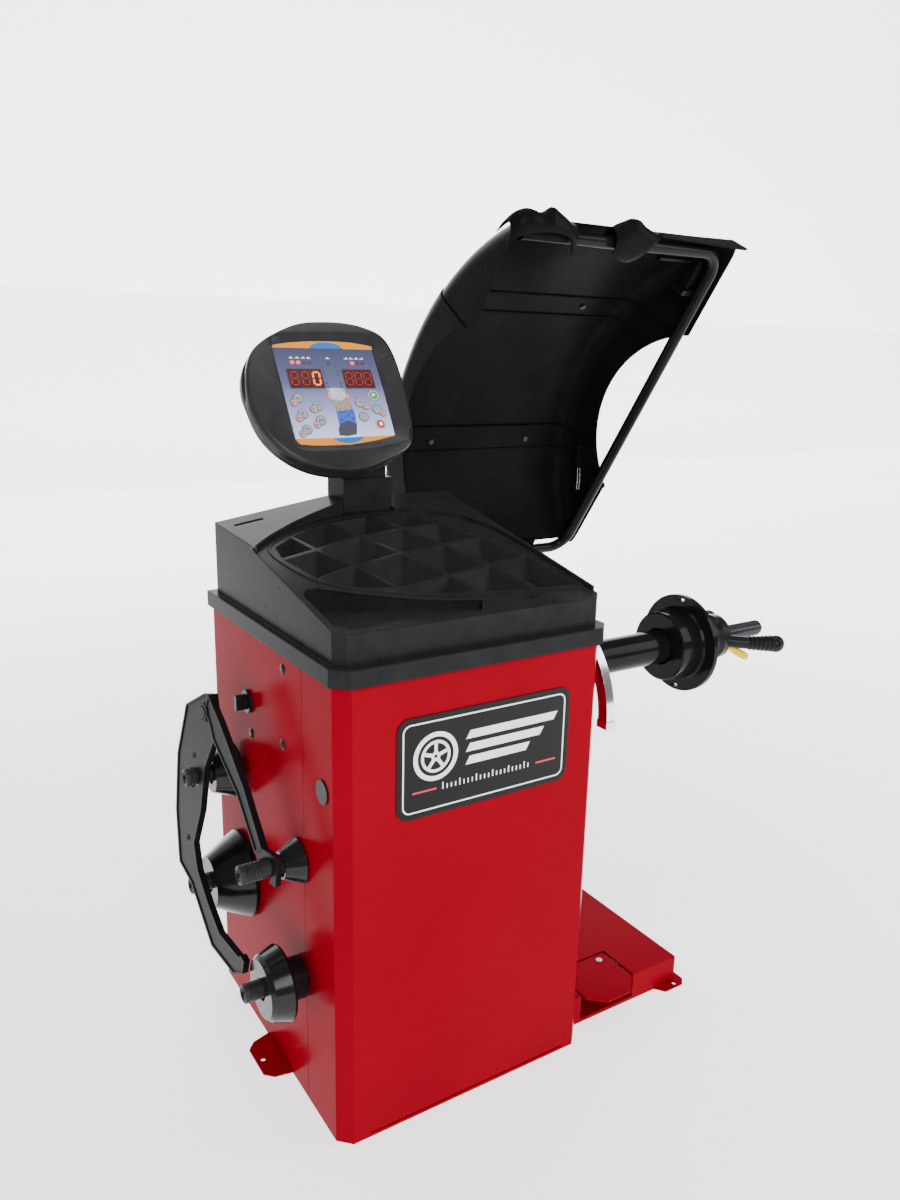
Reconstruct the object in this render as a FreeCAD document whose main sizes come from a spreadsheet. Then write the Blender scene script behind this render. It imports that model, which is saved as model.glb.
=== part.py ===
"""Wheel balancer: cabinet, weight tray, display, spindle, gauge, brake pedal, wheel guard and accessories.

Row frame, millimetres: +X towards the spindle's free end, -Y towards the label face, +Z up.
The origin is on the floor, under the middle of the cabinet.
"""
import FreeCAD
import Part
import Sketcher
import math
import os
import re

doc = FreeCAD.newDocument("wheel_balancer")
sheet = doc.addObject("Spreadsheet::Sheet", "Sizes")

SIZES = [
    # cabinet
    ("cabinet_half_width", 254, "outer face of the side panels"),
    ("cabinet_half_depth", 272, "outer face of the front and rear"),
    ("cabinet_height", 803, "top edge of the covers"),
    ("cover_foot", 1, "gap under the covers"),
    ("gauge_thick", 2, "sheet steel"),
    ("corner_cut", 22, "45 degree cut on the front corners"),
    ("seam_place", -141, "joint of front cover and side panels"),
    ("pan_height", 30, "rim of the base pan"),
    ("tab_thick", 4, "anchor tabs"),
    ("tab_hole", 5, "anchor hole radius"),
    # platform and pedal
    ("platform_end", 541, "outer end of the base extension"),
    ("platform_front", -232, "front face of the base extension"),
    ("platform_rear", 262, "rear face of the base extension"),
    ("platform_top", 59, "height of the base extension"),
    ("pedal_axis_back", -155, "pedal shaft, along Y"),
    ("pedal_axis_up", 46, "pedal shaft, height"),
    ("pedal_shaft_radius", 8, "pedal shaft"),
    ("pedal_left", 291, "pedal plate"),
    ("pedal_right", 417, "pedal plate"),
    ("pedal_front", -268, "pedal plate"),
    ("pedal_rear", -145, "pedal plate"),
    ("crank_reach", 70, "pedal shaft to brake rod"),
    # spindle
    ("spindle_up", 661, "spindle axis height"),
    ("thread_radius", 18, "threaded shaft"),
    ("journal_radius", 22, "shaft in its bearings"),
    ("run_gap", 0.05, "radial running clearance"),
    ("housing_radius", 37, "spindle tube"),
    ("housing_bore", 31, "inside of the spindle tube"),
    ("housing_start", 20, "inner end of the spindle tube"),
    ("housing_end", 674, "outer end of the spindle tube"),
    ("flange_back", 656, "near face of the flange hub"),
    ("flange_face", 726, "wheel seat"),
    ("flange_radius", 109, "wheel flange"),
    ("hub_radius", 76, "hub of the flange"),
    ("shaft_end", 978, "free end of the shaft"),
    ("pulley_radius", 60, "spindle pulley"),
    ("motor_back", 150, "motor axis, along Y"),
    ("motor_up", 470, "motor axis, height"),
    ("motor_pulley_radius", 18, "motor pulley"),
    ("belt_thick", 3, "drive belt"),
    ("pulley_start", -62, "belt plane"),
    ("pulley_width", 24, "belt plane"),
    ("drum_radius", 40, "brake drum beside the pulley"),
    # pedestal
    ("pedestal_start", -20, "pedestal, along X"),
    ("pedestal_end", 230, "pedestal, along X"),
    ("pedestal_half", 70, "pedestal, along Y"),
    ("pedestal_top", 560, "pedestal"),
    # gauge
    ("gauge_back", -203, "gauge rod, along Y"),
    ("gauge_up", 784, "gauge rod, height"),
    ("gauge_rod_radius", 8, "gauge rod"),
    ("arm_bend_back", -95, "centre of the gauge arm's bend, along Y"),
    ("arm_bend_up", 655, "centre of the gauge arm's bend, height"),
    ("arm_bend_outer", 183, "outer radius of the gauge arm"),
    ("arm_depth", 24, "gauge arm"),
    ("arm_near", 262, "gauge arm, along X"),
    ("arm_far", 279, "gauge arm, along X"),
    # tray
    ("skirt_half_width", 262, "tray skirt"),
    ("skirt_half_depth", 280, "tray skirt"),
    ("skirt_top", 832, "tray skirt"),
    ("tray_half_width", 251, "tray body"),
    ("tray_front", -262, "tray body"),
    ("tray_rear", 252, "tray body"),
    ("tray_front_top", 881, "height of the front rim"),
    ("tray_slope", 0.21, "rise of the pocket field to the rear"),
    ("pocket_depth", 34, "tapered pockets"),
    ("rib_half", 4.5, "half the rib between pockets"),
    ("corner_floor", 878, "floor of the corner pocket"),
    # display
    ("post_left", -17, "display post"),
    ("post_right", 87, "display post"),
    ("post_front", 190, "display post"),
    ("post_rear", 262, "display post"),
    ("post_step", 1041, "step of the display post"),
    ("head_across", -27, "centre of the key panel, along X"),
    ("head_back", 202, "centre of the key panel, along Y"),
    ("head_up", 1201, "centre of the key panel, height"),
    ("head_tilt", 33, "display leans back, degrees"),
    ("panel_width", 206, "key panel"),
    ("panel_height", 216, "key panel"),
    ("bezel_depth", 20, "front bezel"),
    ("shell_depth", 46, "rear shell"),
    ("shell_wall", 3, "display shells"),
    # hood
    ("hinge_back", 573, "hood hinge, along Y"),
    ("hinge_up", 769, "hood hinge, height"),
    ("hood_lean", 34.2, "open hood leans forward, degrees"),
    ("tube_radius", 13.5, "hood frame"),
    ("tube_wall", 2, "hood frame"),
    ("hood_left", 270, "left wall of the hood"),
    ("hood_right", 862, "right wall of the hood at its front edge"),
    ("hood_flare", 0.24, "slope of the right wall, narrower at the back"),
    ("frame_right", 840, "upright of the hood frame"),
    ("frame_length", 876, "hinge to top bar"),
    ("hood_arc", 620, "radius of the hood's back"),
    ("hood_arc_along", 460, "centre of the back arc, along the frame"),
    ("hood_arc_drop", 416, "centre of the back arc, in front of the frame"),
    ("hood_wall", 3, "hood panels"),
    ("hood_corner", 46, "rounding of the hood's back edges"),
    ("hood_top", 905, "top edge of the hood, along the frame"),
    ("cut_arc", 273, "radius of the wall cut-out"),
    ("cut_along", 452, "centre of the wall cut-out, along the frame"),
    ("cut_drop", 155, "centre of the wall cut-out, in front of the frame"),
    # left side
    ("peg_rear", 147, "rear pegs, along Y"),
    ("peg_front", -124, "front pegs, along Y"),
    ("peg_reach", 362, "peg tips, from the middle"),
    ("peg_radius", 12, "pegs"),
    ("sleeve_radius", 16, "rubber sleeves on the pegs"),
    ("cone_bore", 19, "bore of the cones"),
    ("knob_back", 96, "main switch, along Y"),
    ("knob_up", 667, "main switch, height"),
]
for row, (alias, value, note) in enumerate(SIZES, start=1):
    sheet.set("A%d" % row, note)
    sheet.set("B%d" % row, str(value))
    sheet.setAlias("B%d" % row, alias)
doc.recompute()
ALIASES = {alias for alias, _, _ in SIZES}


def size(alias):
    """A driving dimension, read from the sheet."""
    return float(sheet.get(alias))


def bound(text):
    """An expression in sheet names, such as "cabinet_height - 3", with each name pointed at the sheet."""
    return re.sub(r"[a-z_]{4,}", lambda m: "Sizes." + m.group() if m.group() in ALIASES else m.group(),
                  str(text))


def amount(text):
    """The value of such an expression."""
    names = re.findall(r"[a-z_]{4,}", str(text))
    value = str(text)
    for name in sorted(set(names), key=len, reverse=True):
        value = re.sub(r"\b%s\b" % name, "(%r)" % size(name), value)
    return FreeCAD.Units.Quantity(value).Value


def name_it(thing, label):
    thing.Label = label
    return thing


def bind(thing, **texts):
    for prop, text in texts.items():
        thing.setExpression(prop, bound(text))
    return thing


def place(thing, x, y, z):
    for axis, text in zip("xyz", (x, y, z)):
        thing.setExpression("Placement.Base." + axis, bound(text))
    return thing


def box(label, x, y, z):
    """A block from three (low, high) pairs of expressions."""
    block = name_it(doc.addObject("Part::Box", "Block"), label)
    for prop, (low, high) in zip(("Length", "Width", "Height"), (x, y, z)):
        block.setExpression(prop, bound("(%s) - (%s)" % (high, low)))
    return place(block, x[0], y[0], z[0])


TURNS = {
    "X": FreeCAD.Rotation(FreeCAD.Vector(0, 1, 0), 90),
    "Y": FreeCAD.Rotation(FreeCAD.Vector(1, 0, 0), -90),
    "Z": FreeCAD.Rotation(),
}


def rod(label, axis, start, length, radius):
    """A cylinder that runs from a start point along +X, +Y or +Z."""
    thing = name_it(doc.addObject("Part::Cylinder", "Rod"), label)
    thing.Placement = FreeCAD.Placement(FreeCAD.Vector(), TURNS[axis])
    bind(thing, Radius=radius, Height=length)
    return place(thing, *start)


def cut(label, base, *tools):
    tool = tools[0] if len(tools) == 1 else fuse(label + " tools", *tools)
    thing = name_it(doc.addObject("Part::Cut", "Cut"), label)
    thing.Base = base
    thing.Tool = tool
    return thing


def fuse(label, *shapes):
    thing = name_it(doc.addObject("Part::MultiFuse", "Fuse"), label)
    thing.Shapes = list(shapes)
    return thing


def group(label, *shapes):
    """Separate solids in one node."""
    thing = name_it(doc.addObject("Part::Compound", "Group"), label)
    thing.Links = list(shapes)
    return thing


def feature(label, shape):
    thing = name_it(doc.addObject("Part::Feature", "Shape"), label)
    thing.Shape = shape
    return thing


def outline_sketch(body, plane, outline):
    """A closed sketch of straight sides: every corner is held at sheet expressions."""
    sketch = body.newObject("Sketcher::SketchObject", "Outline")
    origin = next(item for item in body.Origin.OriginFeatures if item.Role == plane)
    sketch.AttachmentSupport = [(origin, "")]
    sketch.MapMode = "FlatFace"
    corners = [FreeCAD.Vector(amount(across), amount(along), 0) for across, along in outline]
    count = len(corners)
    for start, end in zip(corners, corners[1:] + corners[:1]):
        sketch.addGeometry(Part.LineSegment(start, end), False)
    for side in range(count):
        sketch.addConstraint(Sketcher.Constraint("Coincident", side, 2, (side + 1) % count, 1))
    for side, (corner, texts) in enumerate(zip(corners, outline)):
        for kind, value, text in zip(("DistanceX", "DistanceY"), corner, texts):
            index = sketch.addConstraint(Sketcher.Constraint(kind, -1, 1, side, 1, value))
            if re.search("[a-z]", str(text)):
                sketch.setExpression("Constraints[%d]" % index, bound(text))
    return sketch


def pad(label, outline, z):
    """A plate or prism: an outline in plan, padded from z[0] to z[1]."""
    body = name_it(doc.addObject("PartDesign::Body", "Body"), label)
    sketch = outline_sketch(body, "XY_Plane", outline)
    padded = body.newObject("PartDesign::Pad", "Pad")
    padded.Profile = sketch
    padded.setExpression("Length", bound("(%s) - (%s)" % (z[1], z[0])))
    return place(body, 0, 0, z[0])


def turned(label, outline, centre):
    """A turned piece: an outline of (along X, radius) corners, revolved about a line along X."""
    body = name_it(doc.addObject("PartDesign::Body", "Body"), label)
    sketch = outline_sketch(body, "XY_Plane", outline)
    revolved = body.newObject("PartDesign::Revolution", "Revolution")
    revolved.Profile = sketch
    revolved.ReferenceAxis = (sketch, ["H_Axis"])
    revolved.Angle = 360
    return place(body, 0, *centre)


SPINDLE = ("0", "spindle_up")
GAUGE = ("gauge_back", "gauge_up")
PEDAL = ("pedal_axis_back", "pedal_axis_up")


# ---------------------------------------------------------------- cabinet
def wrap_outline(inset):
    """Plan of the cabinet's front wrap, moved inwards: right seam, front corners, left seam."""
    wide = "cabinet_half_width - %s" % inset
    deep = "-cabinet_half_depth + %s" % inset
    side = "-cabinet_half_depth + corner_cut + 0.4142 * %s" % inset
    front = "cabinet_half_width - corner_cut - 0.4142 * %s" % inset
    return [(wide, side), (front, deep), ("-(%s)" % front, deep), ("-(%s)" % wide, side)]


def make_cabinet():
    right, left = ("cabinet_half_width", "-cabinet_half_width")
    inner = "cabinet_half_width - gauge_thick"
    height = ("cover_foot", "cabinet_height")
    outer_wrap = [(right, "seam_place")] + wrap_outline("0") + [(left, "seam_place")]
    inner_wrap = [(inner, "seam_place")] + wrap_outline("gauge_thick") + [("-(%s)" % inner, "seam_place")]
    wrap = pad("front cover sheet", outer_wrap + inner_wrap[::-1], height)
    lip = box("front cover lip", ("-200", "206"), ("-cabinet_half_depth - 5", "-cabinet_half_depth + 5"),
              (7, 10))
    gauge_hole = rod("gauge hole", "X", (200, *GAUGE), 100, "gauge_rod_radius + 3")
    pedal_hole = rod("pedal shaft hole", "X", (200, *PEDAL), 100, "pedal_shaft_radius + 2")
    cut("front_cover", wrap, lip, gauge_hole, pedal_hole)

    pan_side = [(inner, "cabinet_half_depth - gauge_thick")] + wrap_outline("gauge_thick")
    pan = pad("pan block", pan_side + [("-(%s)" % inner, "cabinet_half_depth - gauge_thick")],
              (0, "pan_height"))
    well_side = [("cabinet_half_width - 4", "cabinet_half_depth - 4")] + wrap_outline("4")
    well = pad("pan well", well_side + [("-cabinet_half_width + 4", "cabinet_half_depth - 4")],
               (3, "pan_height + 5"))
    cut("base_pan", pan, well)

    behind = ("seam_place + 1.5", "cabinet_half_depth")
    left_sheet = box("left sheet", (left, "-(%s)" % inner), behind, height)
    switch_hole = rod("switch hole", "X", ("-cabinet_half_width - 5", "knob_back", "knob_up"), 15, 11)
    cut("left_side_panel", left_sheet, switch_hole)
    right_sheet = box("right sheet", (inner, right), behind, height)
    spindle_hole = rod("spindle hole", "X", ("cabinet_half_width - 10", 0, "spindle_up"), 20,
                       "housing_radius + 9")
    cut("right_side_panel", right_sheet, spindle_hole)

    rear = box("rear sheet", ("-(%s)" % inner, inner),
               ("cabinet_half_depth - gauge_thick", "cabinet_half_depth"), height)
    slots = [box("louvre", (-120, 120), ("cabinet_half_depth - 9", "cabinet_half_depth + 9"), (low, low + 6))
             for low in range(180, 300, 20)]
    inlet = box("inlet hole", (-190, -162), ("cabinet_half_depth - 9", "cabinet_half_depth + 9"), (120, 168))
    cut("rear_panel", rear, inlet, *slots)

    left_tab = pad("left tab plate", [(left, -68), (-286, -62), (-302, -46), (-302, 24), (-288, 40),
                                      (left, 50)],
                   (0, "tab_thick"))
    left_hole = rod("left tab hole", "Z", (-289, -12, -5), 20, "tab_hole")
    cut("left_anchor_tab", left_tab, left_hole)
    make_small_cabinet_parts()


def make_small_cabinet_parts():
    face = "-cabinet_half_depth"
    plate = box("label block", (-157, 179), (face + " - 1.5", face), (567, 737))
    round_block("label_plate", plate, 22, lambda edge: abs(edge.tangentAt(0).y) > 0.99)
    screws = [rod("hole plug", "X", ("-cabinet_half_width - 2.5", -215, 620), 2.5, 20)]
    for back, up in ((-66, 775), (86, 609), (-59, 641)):
        screws.append(turned("cover screw", [("-cabinet_half_width - 3", 0), ("-cabinet_half_width - 3", 5),
                                             ("-cabinet_half_width", 10), ("-cabinet_half_width", 0)],
                             (back, up)))
    group("cover_screws_and_plug", *screws)
    block = box("switch block", ("-cabinet_half_width + 2", "-cabinet_half_width + 42"),
                ("knob_back - 22", "knob_back + 22"), ("knob_up - 22", "knob_up + 22"))
    collar = rod("switch collar", "X", ("-cabinet_half_width - 6", "knob_back", "knob_up"), 8, 21)
    neck = rod("switch neck", "X", ("-cabinet_half_width - 1", "knob_back", "knob_up"), 5, 11)
    bore = rod("switch bore", "X", ("-cabinet_half_width - 20", "knob_back", "knob_up"), 40, "5 + run_gap")
    mouth = box("switch collar back", ("-cabinet_half_width", "-cabinet_half_width + 2"),
                ("knob_back - 30", "knob_back + 30"), ("knob_up - 30", "knob_up + 30"))
    collar_front = cut("switch collar front", collar, mouth)
    cut("power_switch_body", fuse("switch parts", block, collar_front, neck), bore)
    knob = rod("knob disc", "X", ("-cabinet_half_width - 25", "knob_back", "knob_up"), 18, 14)
    flank = box("knob flank", ("-cabinet_half_width - 40", "-cabinet_half_width - 13"),
                ("knob_back - 20", "knob_back - 5"), ("knob_up - 20", "knob_up + 20"))
    other = box("knob other flank", ("-cabinet_half_width - 40", "-cabinet_half_width - 13"),
                ("knob_back + 5", "knob_back + 20"), ("knob_up - 20", "knob_up + 20"))
    pin = rod("knob pin", "X", ("-cabinet_half_width - 10", "knob_back", "knob_up"), 24, 5)
    fuse("power_switch_knob", cut("knob grip", knob, flank, other), pin)
    body = box("inlet body", (-190, -162), ("cabinet_half_depth - 40", "cabinet_half_depth"), (120, 168))
    lip = box("inlet lip", (-196, -156), ("cabinet_half_depth", "cabinet_half_depth + 3"), (112, 176))
    socket = box("inlet socket", (-186, -166), ("cabinet_half_depth - 20", "cabinet_half_depth + 9"),
                 (126, 162))
    cut("mains_inlet", fuse("inlet parts", body, lip), socket)
    board = box("board", (-230, -60), ("cabinet_half_depth - 22", "cabinet_half_depth - 20"), (330, 520))
    sink = box("heat sink", (-220, -160), ("cabinet_half_depth - 60", "cabinet_half_depth - 22"), (440, 510))
    transformer = box("transformer", (-140, -70), ("cabinet_half_depth - 72", "cabinet_half_depth - 22"),
                      (345, 405))
    spacer = box("board spacer", (-150, -140), ("cabinet_half_depth - 20", "cabinet_half_depth - 2"),
                 (420, 430))
    fuse("power_board", board, sink, transformer, spacer)


def round_block(label, base, radius, chosen):
    """A Part::Fillet on the edges that the test picks."""
    doc.recompute()
    thing = name_it(doc.addObject("Part::Fillet", "Fillet"), label)
    thing.Base = base
    thing.Edges = [(number, radius, radius) for number,
                   edge in enumerate(base.Shape.Edges, start=1) if chosen(edge)]
    return thing


# ---------------------------------------------------------------- platform, pedal and brake
def make_platform():
    start = "cabinet_half_width"
    skin = box("platform block", (start, "platform_end"), ("platform_front", "platform_rear"),
               (0, "platform_top"))
    hollow = box("platform hollow", (start + " - 1", "platform_end - 3"),
                 ("platform_front + 3", "platform_rear - 3"),
                 (3, "platform_top - 3"))
    notch = box("pedal notch", ("pedal_left - 5", "pedal_right + 6"),
                ("platform_front - 5", "pedal_rear + 5"),
                (8, "platform_top + 5"))
    cut("platform", skin, hollow, notch)
    tab = pad("right tab plate", [(486, "platform_front"), (500, -252), (548, -252), (560, -240),
                                  (560, -204),
                                  ("platform_end", -196), ("platform_end", "platform_front")],
              (0, "tab_thick"))
    hole = rod("right tab hole", "Z", (533, -242, -5), 20, "tab_hole")
    cut("right_anchor_tab", tab, hole)

    top = ("pedal_axis_up + pedal_shaft_radius", "platform_top")
    plate = pad("pedal plate", [("pedal_left", "pedal_rear"), ("pedal_left", "pedal_front + 29"),
                                ("pedal_left + 33", "pedal_front"), ("pedal_right - 33", "pedal_front"),
                                ("pedal_right", "pedal_front + 33"), ("pedal_right", "pedal_rear")], top)
    screw = rod("pedal screw", "Z", (392, -162, "platform_top"), 1.5, 5)
    lugs = [box("pedal lug", (low, low + 24), ("pedal_axis_back - 14", "pedal_rear"),
                ("pedal_axis_up - 12", "platform_top - 4"))
            for low in (302, 382)]
    lug_bore = rod("pedal lug bore", "X", (250, *PEDAL), 250, "pedal_shaft_radius")
    cut("brake_pedal", fuse("pedal with lugs", plate, screw, *lugs), lug_bore)
    shaft = rod("pedal bar", "X", (-38, *PEDAL), 480, "pedal_shaft_radius")
    crank = box("crank bar", (-36, -22), ("pedal_axis_back", "pedal_axis_back + crank_reach + 6"),
                ("pedal_axis_up - 5", "pedal_axis_up + 5"))
    fuse("pedal_shaft", shaft, crank)
    blocks = []
    for low in (258, 430):
        block = box("bearing block", (low, low + 12), ("pedal_axis_back - 14", "pedal_axis_back + 14"),
                    (4, "platform_top - 3"))
        hole = rod("bearing bore", "X", (low - 5, *PEDAL), 30, "pedal_shaft_radius + run_gap")
        blocks.append(cut("pedal bearing", block, hole))
    inner = box("inner bearing block", (-12, 2), ("pedal_axis_back - 14", "pedal_axis_back + 14"), (3, 64))
    inner_bore = rod("inner bearing bore", "X", (-20, *PEDAL), 30, "pedal_shaft_radius + run_gap")
    group("pedal_bearings", cut("inner pedal bearing", inner, inner_bore), *blocks)

    back = "pedal_axis_back + crank_reach"
    shoe_top = "spindle_up - drum_radius - crank_reach * 0.174 - 0.5"
    push = rod("push rod", "Z", (-29, back, "pedal_axis_up + 6.5"),
               "%s - 20 - pedal_axis_up - 6.5" % shoe_top, 5)
    arm = box("pad arm", (-36, -22), ("(%s) - 8" % back, 12), ("%s - 20" % shoe_top, "%s - 8" % shoe_top))
    shoe = box("pad shoe", (-36, -22), (-14, 12), ("%s - 8" % shoe_top, shoe_top))
    fuse("brake_rod", push, arm, shoe)


# ---------------------------------------------------------------- pedestal, spindle and drive
def make_pedestal():
    start, end = ("pedestal_start", "pedestal_end")
    half = ("-pedestal_half", "pedestal_half")
    column = box("column", (start, end), half, (3, "pedestal_top"))
    hollow = box("column hollow", ("pedestal_start + 5", "pedestal_end - 5"),
                 ("-pedestal_half + 5", "pedestal_half - 5"),
                 (-1, "pedestal_top - 5"))
    open_front = box("column window", ("pedestal_start + 40", "pedestal_end - 40"),
                     ("-pedestal_half - 5", "pedestal_half + 5"),
                     (120, 420))
    saddles = [box("saddle", (low, low + 14), (-46, 46),
                   ("pedestal_top + 8", "spindle_up")) for low in (36, 196)]
    bed = rod("saddle bed", "X", (0, *SPINDLE), 300, "housing_radius")
    guide = box("rod guide", (-42, "pedestal_start"), (-98, -60), (300, 330))
    guide_bore = rod("rod guide bore", "Z", (-29, "pedal_axis_back + crank_reach", 280), 80, "5 + run_gap")
    frame = fuse("pedestal frame", cut("hollow column", column, hollow, open_front),
                 cut("rod guide block", guide, guide_bore))
    group("pedestal", frame)
    group("spindle_cradle", cut("spindle saddles", fuse("saddle pair", *saddles), bed))
    group("force_sensors", *[rod("force sensor", "Z", (low + 7, 0, "pedestal_top"), 8,
                                 14) for low in (36, 196)])


def make_spindle():
    tube = rod("spindle tube", "X", ("housing_start", *SPINDLE), "housing_end - housing_start",
               "housing_radius")
    inside = rod("spindle tube bore", "X", ("housing_start - 5", *SPINDLE), "housing_end", "housing_bore")
    cut("spindle_housing", tube, inside)
    rings = []
    for low in (44, 636):
        ring = rod("bearing ring", "X", (low, *SPINDLE), 16, "housing_bore")
        hole = rod("bearing hole", "X", (low - 5, *SPINDLE), 30, "journal_radius + run_gap")
        rings.append(cut("bearing", ring, hole))
    group("spindle_bearings", *rings)

    seat = "flange_face - 24"
    turned("spindle_shaft", [(-96, 0), (-96, "journal_radius"), (seat, "journal_radius"),
                             (seat, "thread_radius"),
                             (848, "thread_radius"), (848, "thread_radius - 1"), (850, "thread_radius - 1"),
                             (850, "thread_radius"), ("shaft_end - 3", "thread_radius"),
                             ("shaft_end", "thread_radius - 3"), ("shaft_end", 0)], SPINDLE)
    disc = turned("flange disc", [("flange_back", 41), ("flange_back", "hub_radius - 3"),
                                  ("flange_back + 3", "hub_radius"),
                                  ("flange_face - 42", "hub_radius"), ("flange_face - 40", "hub_radius + 3"),
                                  ("flange_face - 16", "hub_radius + 3"),
                                  ("flange_face - 11", "hub_radius + 7"),
                                  ("flange_face - 11", "flange_radius"), ("flange_face", "flange_radius"),
                                  ("flange_face", "thread_radius"), (seat, "thread_radius"),
                                  (seat, "journal_radius"), ("flange_back + 22", "journal_radius"),
                                  ("flange_back + 22", 41)], SPINDLE)
    slots = [box("rim slot", ("flange_face - 20", "flange_face + 5"), (-9, 9),
                 ("spindle_up + (%d)" % low, "spindle_up + (%d)" % (low + 6))) for low in (96, -102)]
    cut("wheel_flange", disc, *slots)
    start, end = ("pulley_start", "pulley_start + pulley_width")
    wheel = turned("belt wheel", [(start, "journal_radius"), (start, "pulley_radius"),
                                  (end, "pulley_radius"),
                                  (end, "journal_radius")], SPINDLE)
    drum = turned("brake drum", [(end, "journal_radius"), (end, "drum_radius"), (-22, "drum_radius"),
                                 (-22, "journal_radius")], SPINDLE)
    group("spindle_pulley", wheel, drum)
    turned("encoder_disc", [(-84, "journal_radius"), (-84, 46), (-82, 46), (-82, "journal_radius")], SPINDLE)
    level = ("spindle_up - 10", "spindle_up + 10")
    fork = box("encoder fork", (-94, -72), (-72, -34), level)
    gap = box("encoder gap", (-87, -79), (-52, -30), ("spindle_up - 15", "spindle_up + 15"))
    stay = box("encoder stay", (-94, 32), (-72, -68), level)
    tab = box("encoder tab", (24, 32), (-72, -30), level)
    seat_cut = rod("encoder seat", "X", (0, *SPINDLE), 60, "housing_radius")
    fuse("encoder_sensor", cut("encoder body", fork, gap),
         cut("encoder arm", fuse("encoder bars", stay, tab), seat_cut))

    turned("pressure_cup", [(760, 21), (760, 50), (764, 54), (792, 54), (800, 46), (800, 21)], SPINDLE)
    make_nut()
    make_drive()


def make_nut():
    """Quick nut with two swept handles, and its release lever."""
    barrel = turned("nut barrel", [(800.4, "thread_radius + 0.4"), (800.4, 46), (812, 52), (834, 50),
                                   (840, 42),
                                   (840, "thread_radius + 0.4")], SPINDLE)
    root_out, tip_out = (822, 921)
    lean = math.radians(-3)
    direction = FreeCAD.Vector(0, -math.cos(lean), math.sin(lean))
    axis = FreeCAD.Vector(0, 0, size("spindle_up"))
    handles = []
    for side in (1, -1):
        points = []
        for along, reach in ((root_out, 34), (root_out + 42, 70), (tip_out, 102)):
            points.append(axis + FreeCAD.Vector(along, 0, 0) + direction * (reach * side))
        arm = Part.makeCylinder(14, (points[1] - points[0]).Length, points[0], points[1] - points[0])
        knee = Part.makeSphere(14, points[1])
        grip = Part.makeCone(14, 18.5, (points[2] - points[1]).Length, points[1], points[2] - points[1])
        end = Part.makeSphere(19.5, points[2])
        handles.append(arm.fuse([knee, grip, end]))
    shape = handles[0].fuse(handles[1]).removeSplitter()
    bars = feature("nut handles", shape)
    clear = rod("nut handle clearance", "X", (700, *SPINDLE), 400, "thread_radius + 0.4")
    root = FreeCAD.Vector(836, -42, size("spindle_up") - 17)
    tip = FreeCAD.Vector(882, -61, size("spindle_up") - 44)
    across = FreeCAD.Vector(0, 0.375, -0.927).normalize()
    knuckle = Part.makeCylinder(4.5, 14, root - across * 7, across)
    blade = Part.makeBox((tip - root).Length, 15, 7, FreeCAD.Vector(0, -7.5, -3.5))
    blade = blade.makeFillet(3,
                             [edge for edge in blade.Edges if edge.Length < 20 and edge.BoundBox.XMin > 20])
    facing = FreeCAD.Rotation(tip - root, across, FreeCAD.Vector(), "XYZ")
    blade.Placement = FreeCAD.Placement(root, facing)
    feature("release_lever", blade.fuse(knuckle).removeSplitter())
    pocket = Part.makeCylinder(7.5, 18, root - across * 9, across)
    mouth = Part.makeBox(60, 18, 13, FreeCAD.Vector(0, -9, -6.5))
    mouth.Placement = FreeCAD.Placement(root, facing)
    slot = feature("lever slot", pocket.fuse(mouth))
    cut("quick_nut", fuse("nut with handles", barrel, bars), clear, slot)


def loop_face(plane, first, second, first_radius, second_radius):
    """The face inside a belt that runs round two pulleys; the centres are (along Y, height)."""
    gap = math.hypot(second[0] - first[0], second[1] - first[1])
    heading = math.atan2(second[1] - first[1], second[0] - first[0])
    spread = math.acos((first_radius - second_radius) / gap)
    corners = []
    for centre, radius, sides in ((first, first_radius, (1, -1)), (second, second_radius, (-1, 1))):
        for side in sides:
            angle = heading + side * spread
            corners.append(FreeCAD.Vector(plane, centre[0] + radius * math.cos(angle),
                                          centre[1] + radius * math.sin(angle)))
    far_first = FreeCAD.Vector(plane, first[0] - first_radius * math.cos(heading),
                               first[1] - first_radius * math.sin(heading))
    far_second = FreeCAD.Vector(plane, second[0] + second_radius * math.cos(heading),
                                second[1] + second_radius * math.sin(heading))
    edges = [Part.Arc(corners[0], far_first, corners[1]).toShape(),
             Part.LineSegment(corners[1], corners[2]).toShape(),
             Part.Arc(corners[2], far_second, corners[3]).toShape(),
             Part.LineSegment(corners[3], corners[0]).toShape()]
    return Part.Face(Part.Wire(edges))


def make_drive():
    """Motor, its pulley and the belt."""
    centre = ("motor_back", "motor_up")
    can = rod("motor can", "X", (-26, *centre), 150, 52)
    nose = rod("motor nose", "X", (-32, *centre), 6, 26)
    bore = rod("motor bore", "X", (-40, *centre), 100, "7 + run_gap")
    foot = box("motor foot", (0, 100), ("pedestal_half", "motor_back"), ("motor_up - 12", "motor_up + 12"))
    cut("motor_housing", fuse("motor parts", can, nose, foot), bore)
    wheel = rod("motor wheel", "X", ("pulley_start", *centre), "pulley_width", "motor_pulley_radius")
    spindle = rod("motor spindle", "X", ("pulley_start", *centre), 110, 7)
    fuse("motor_pulley", wheel, spindle)
    first = (0, size("spindle_up"))
    second = (size("motor_back"), size("motor_up"))
    plane = size("pulley_start") + 2
    radii = (size("pulley_radius") + 0.3, size("motor_pulley_radius") + 0.3)
    thick = size("belt_thick")
    outer = loop_face(plane, first, second, radii[0] + thick, radii[1] + thick)
    inner = loop_face(plane, first, second, *radii)
    feature("drive_belt", outer.cut(inner).extrude(FreeCAD.Vector(size("pulley_width") - 4, 0, 0)))


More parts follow.
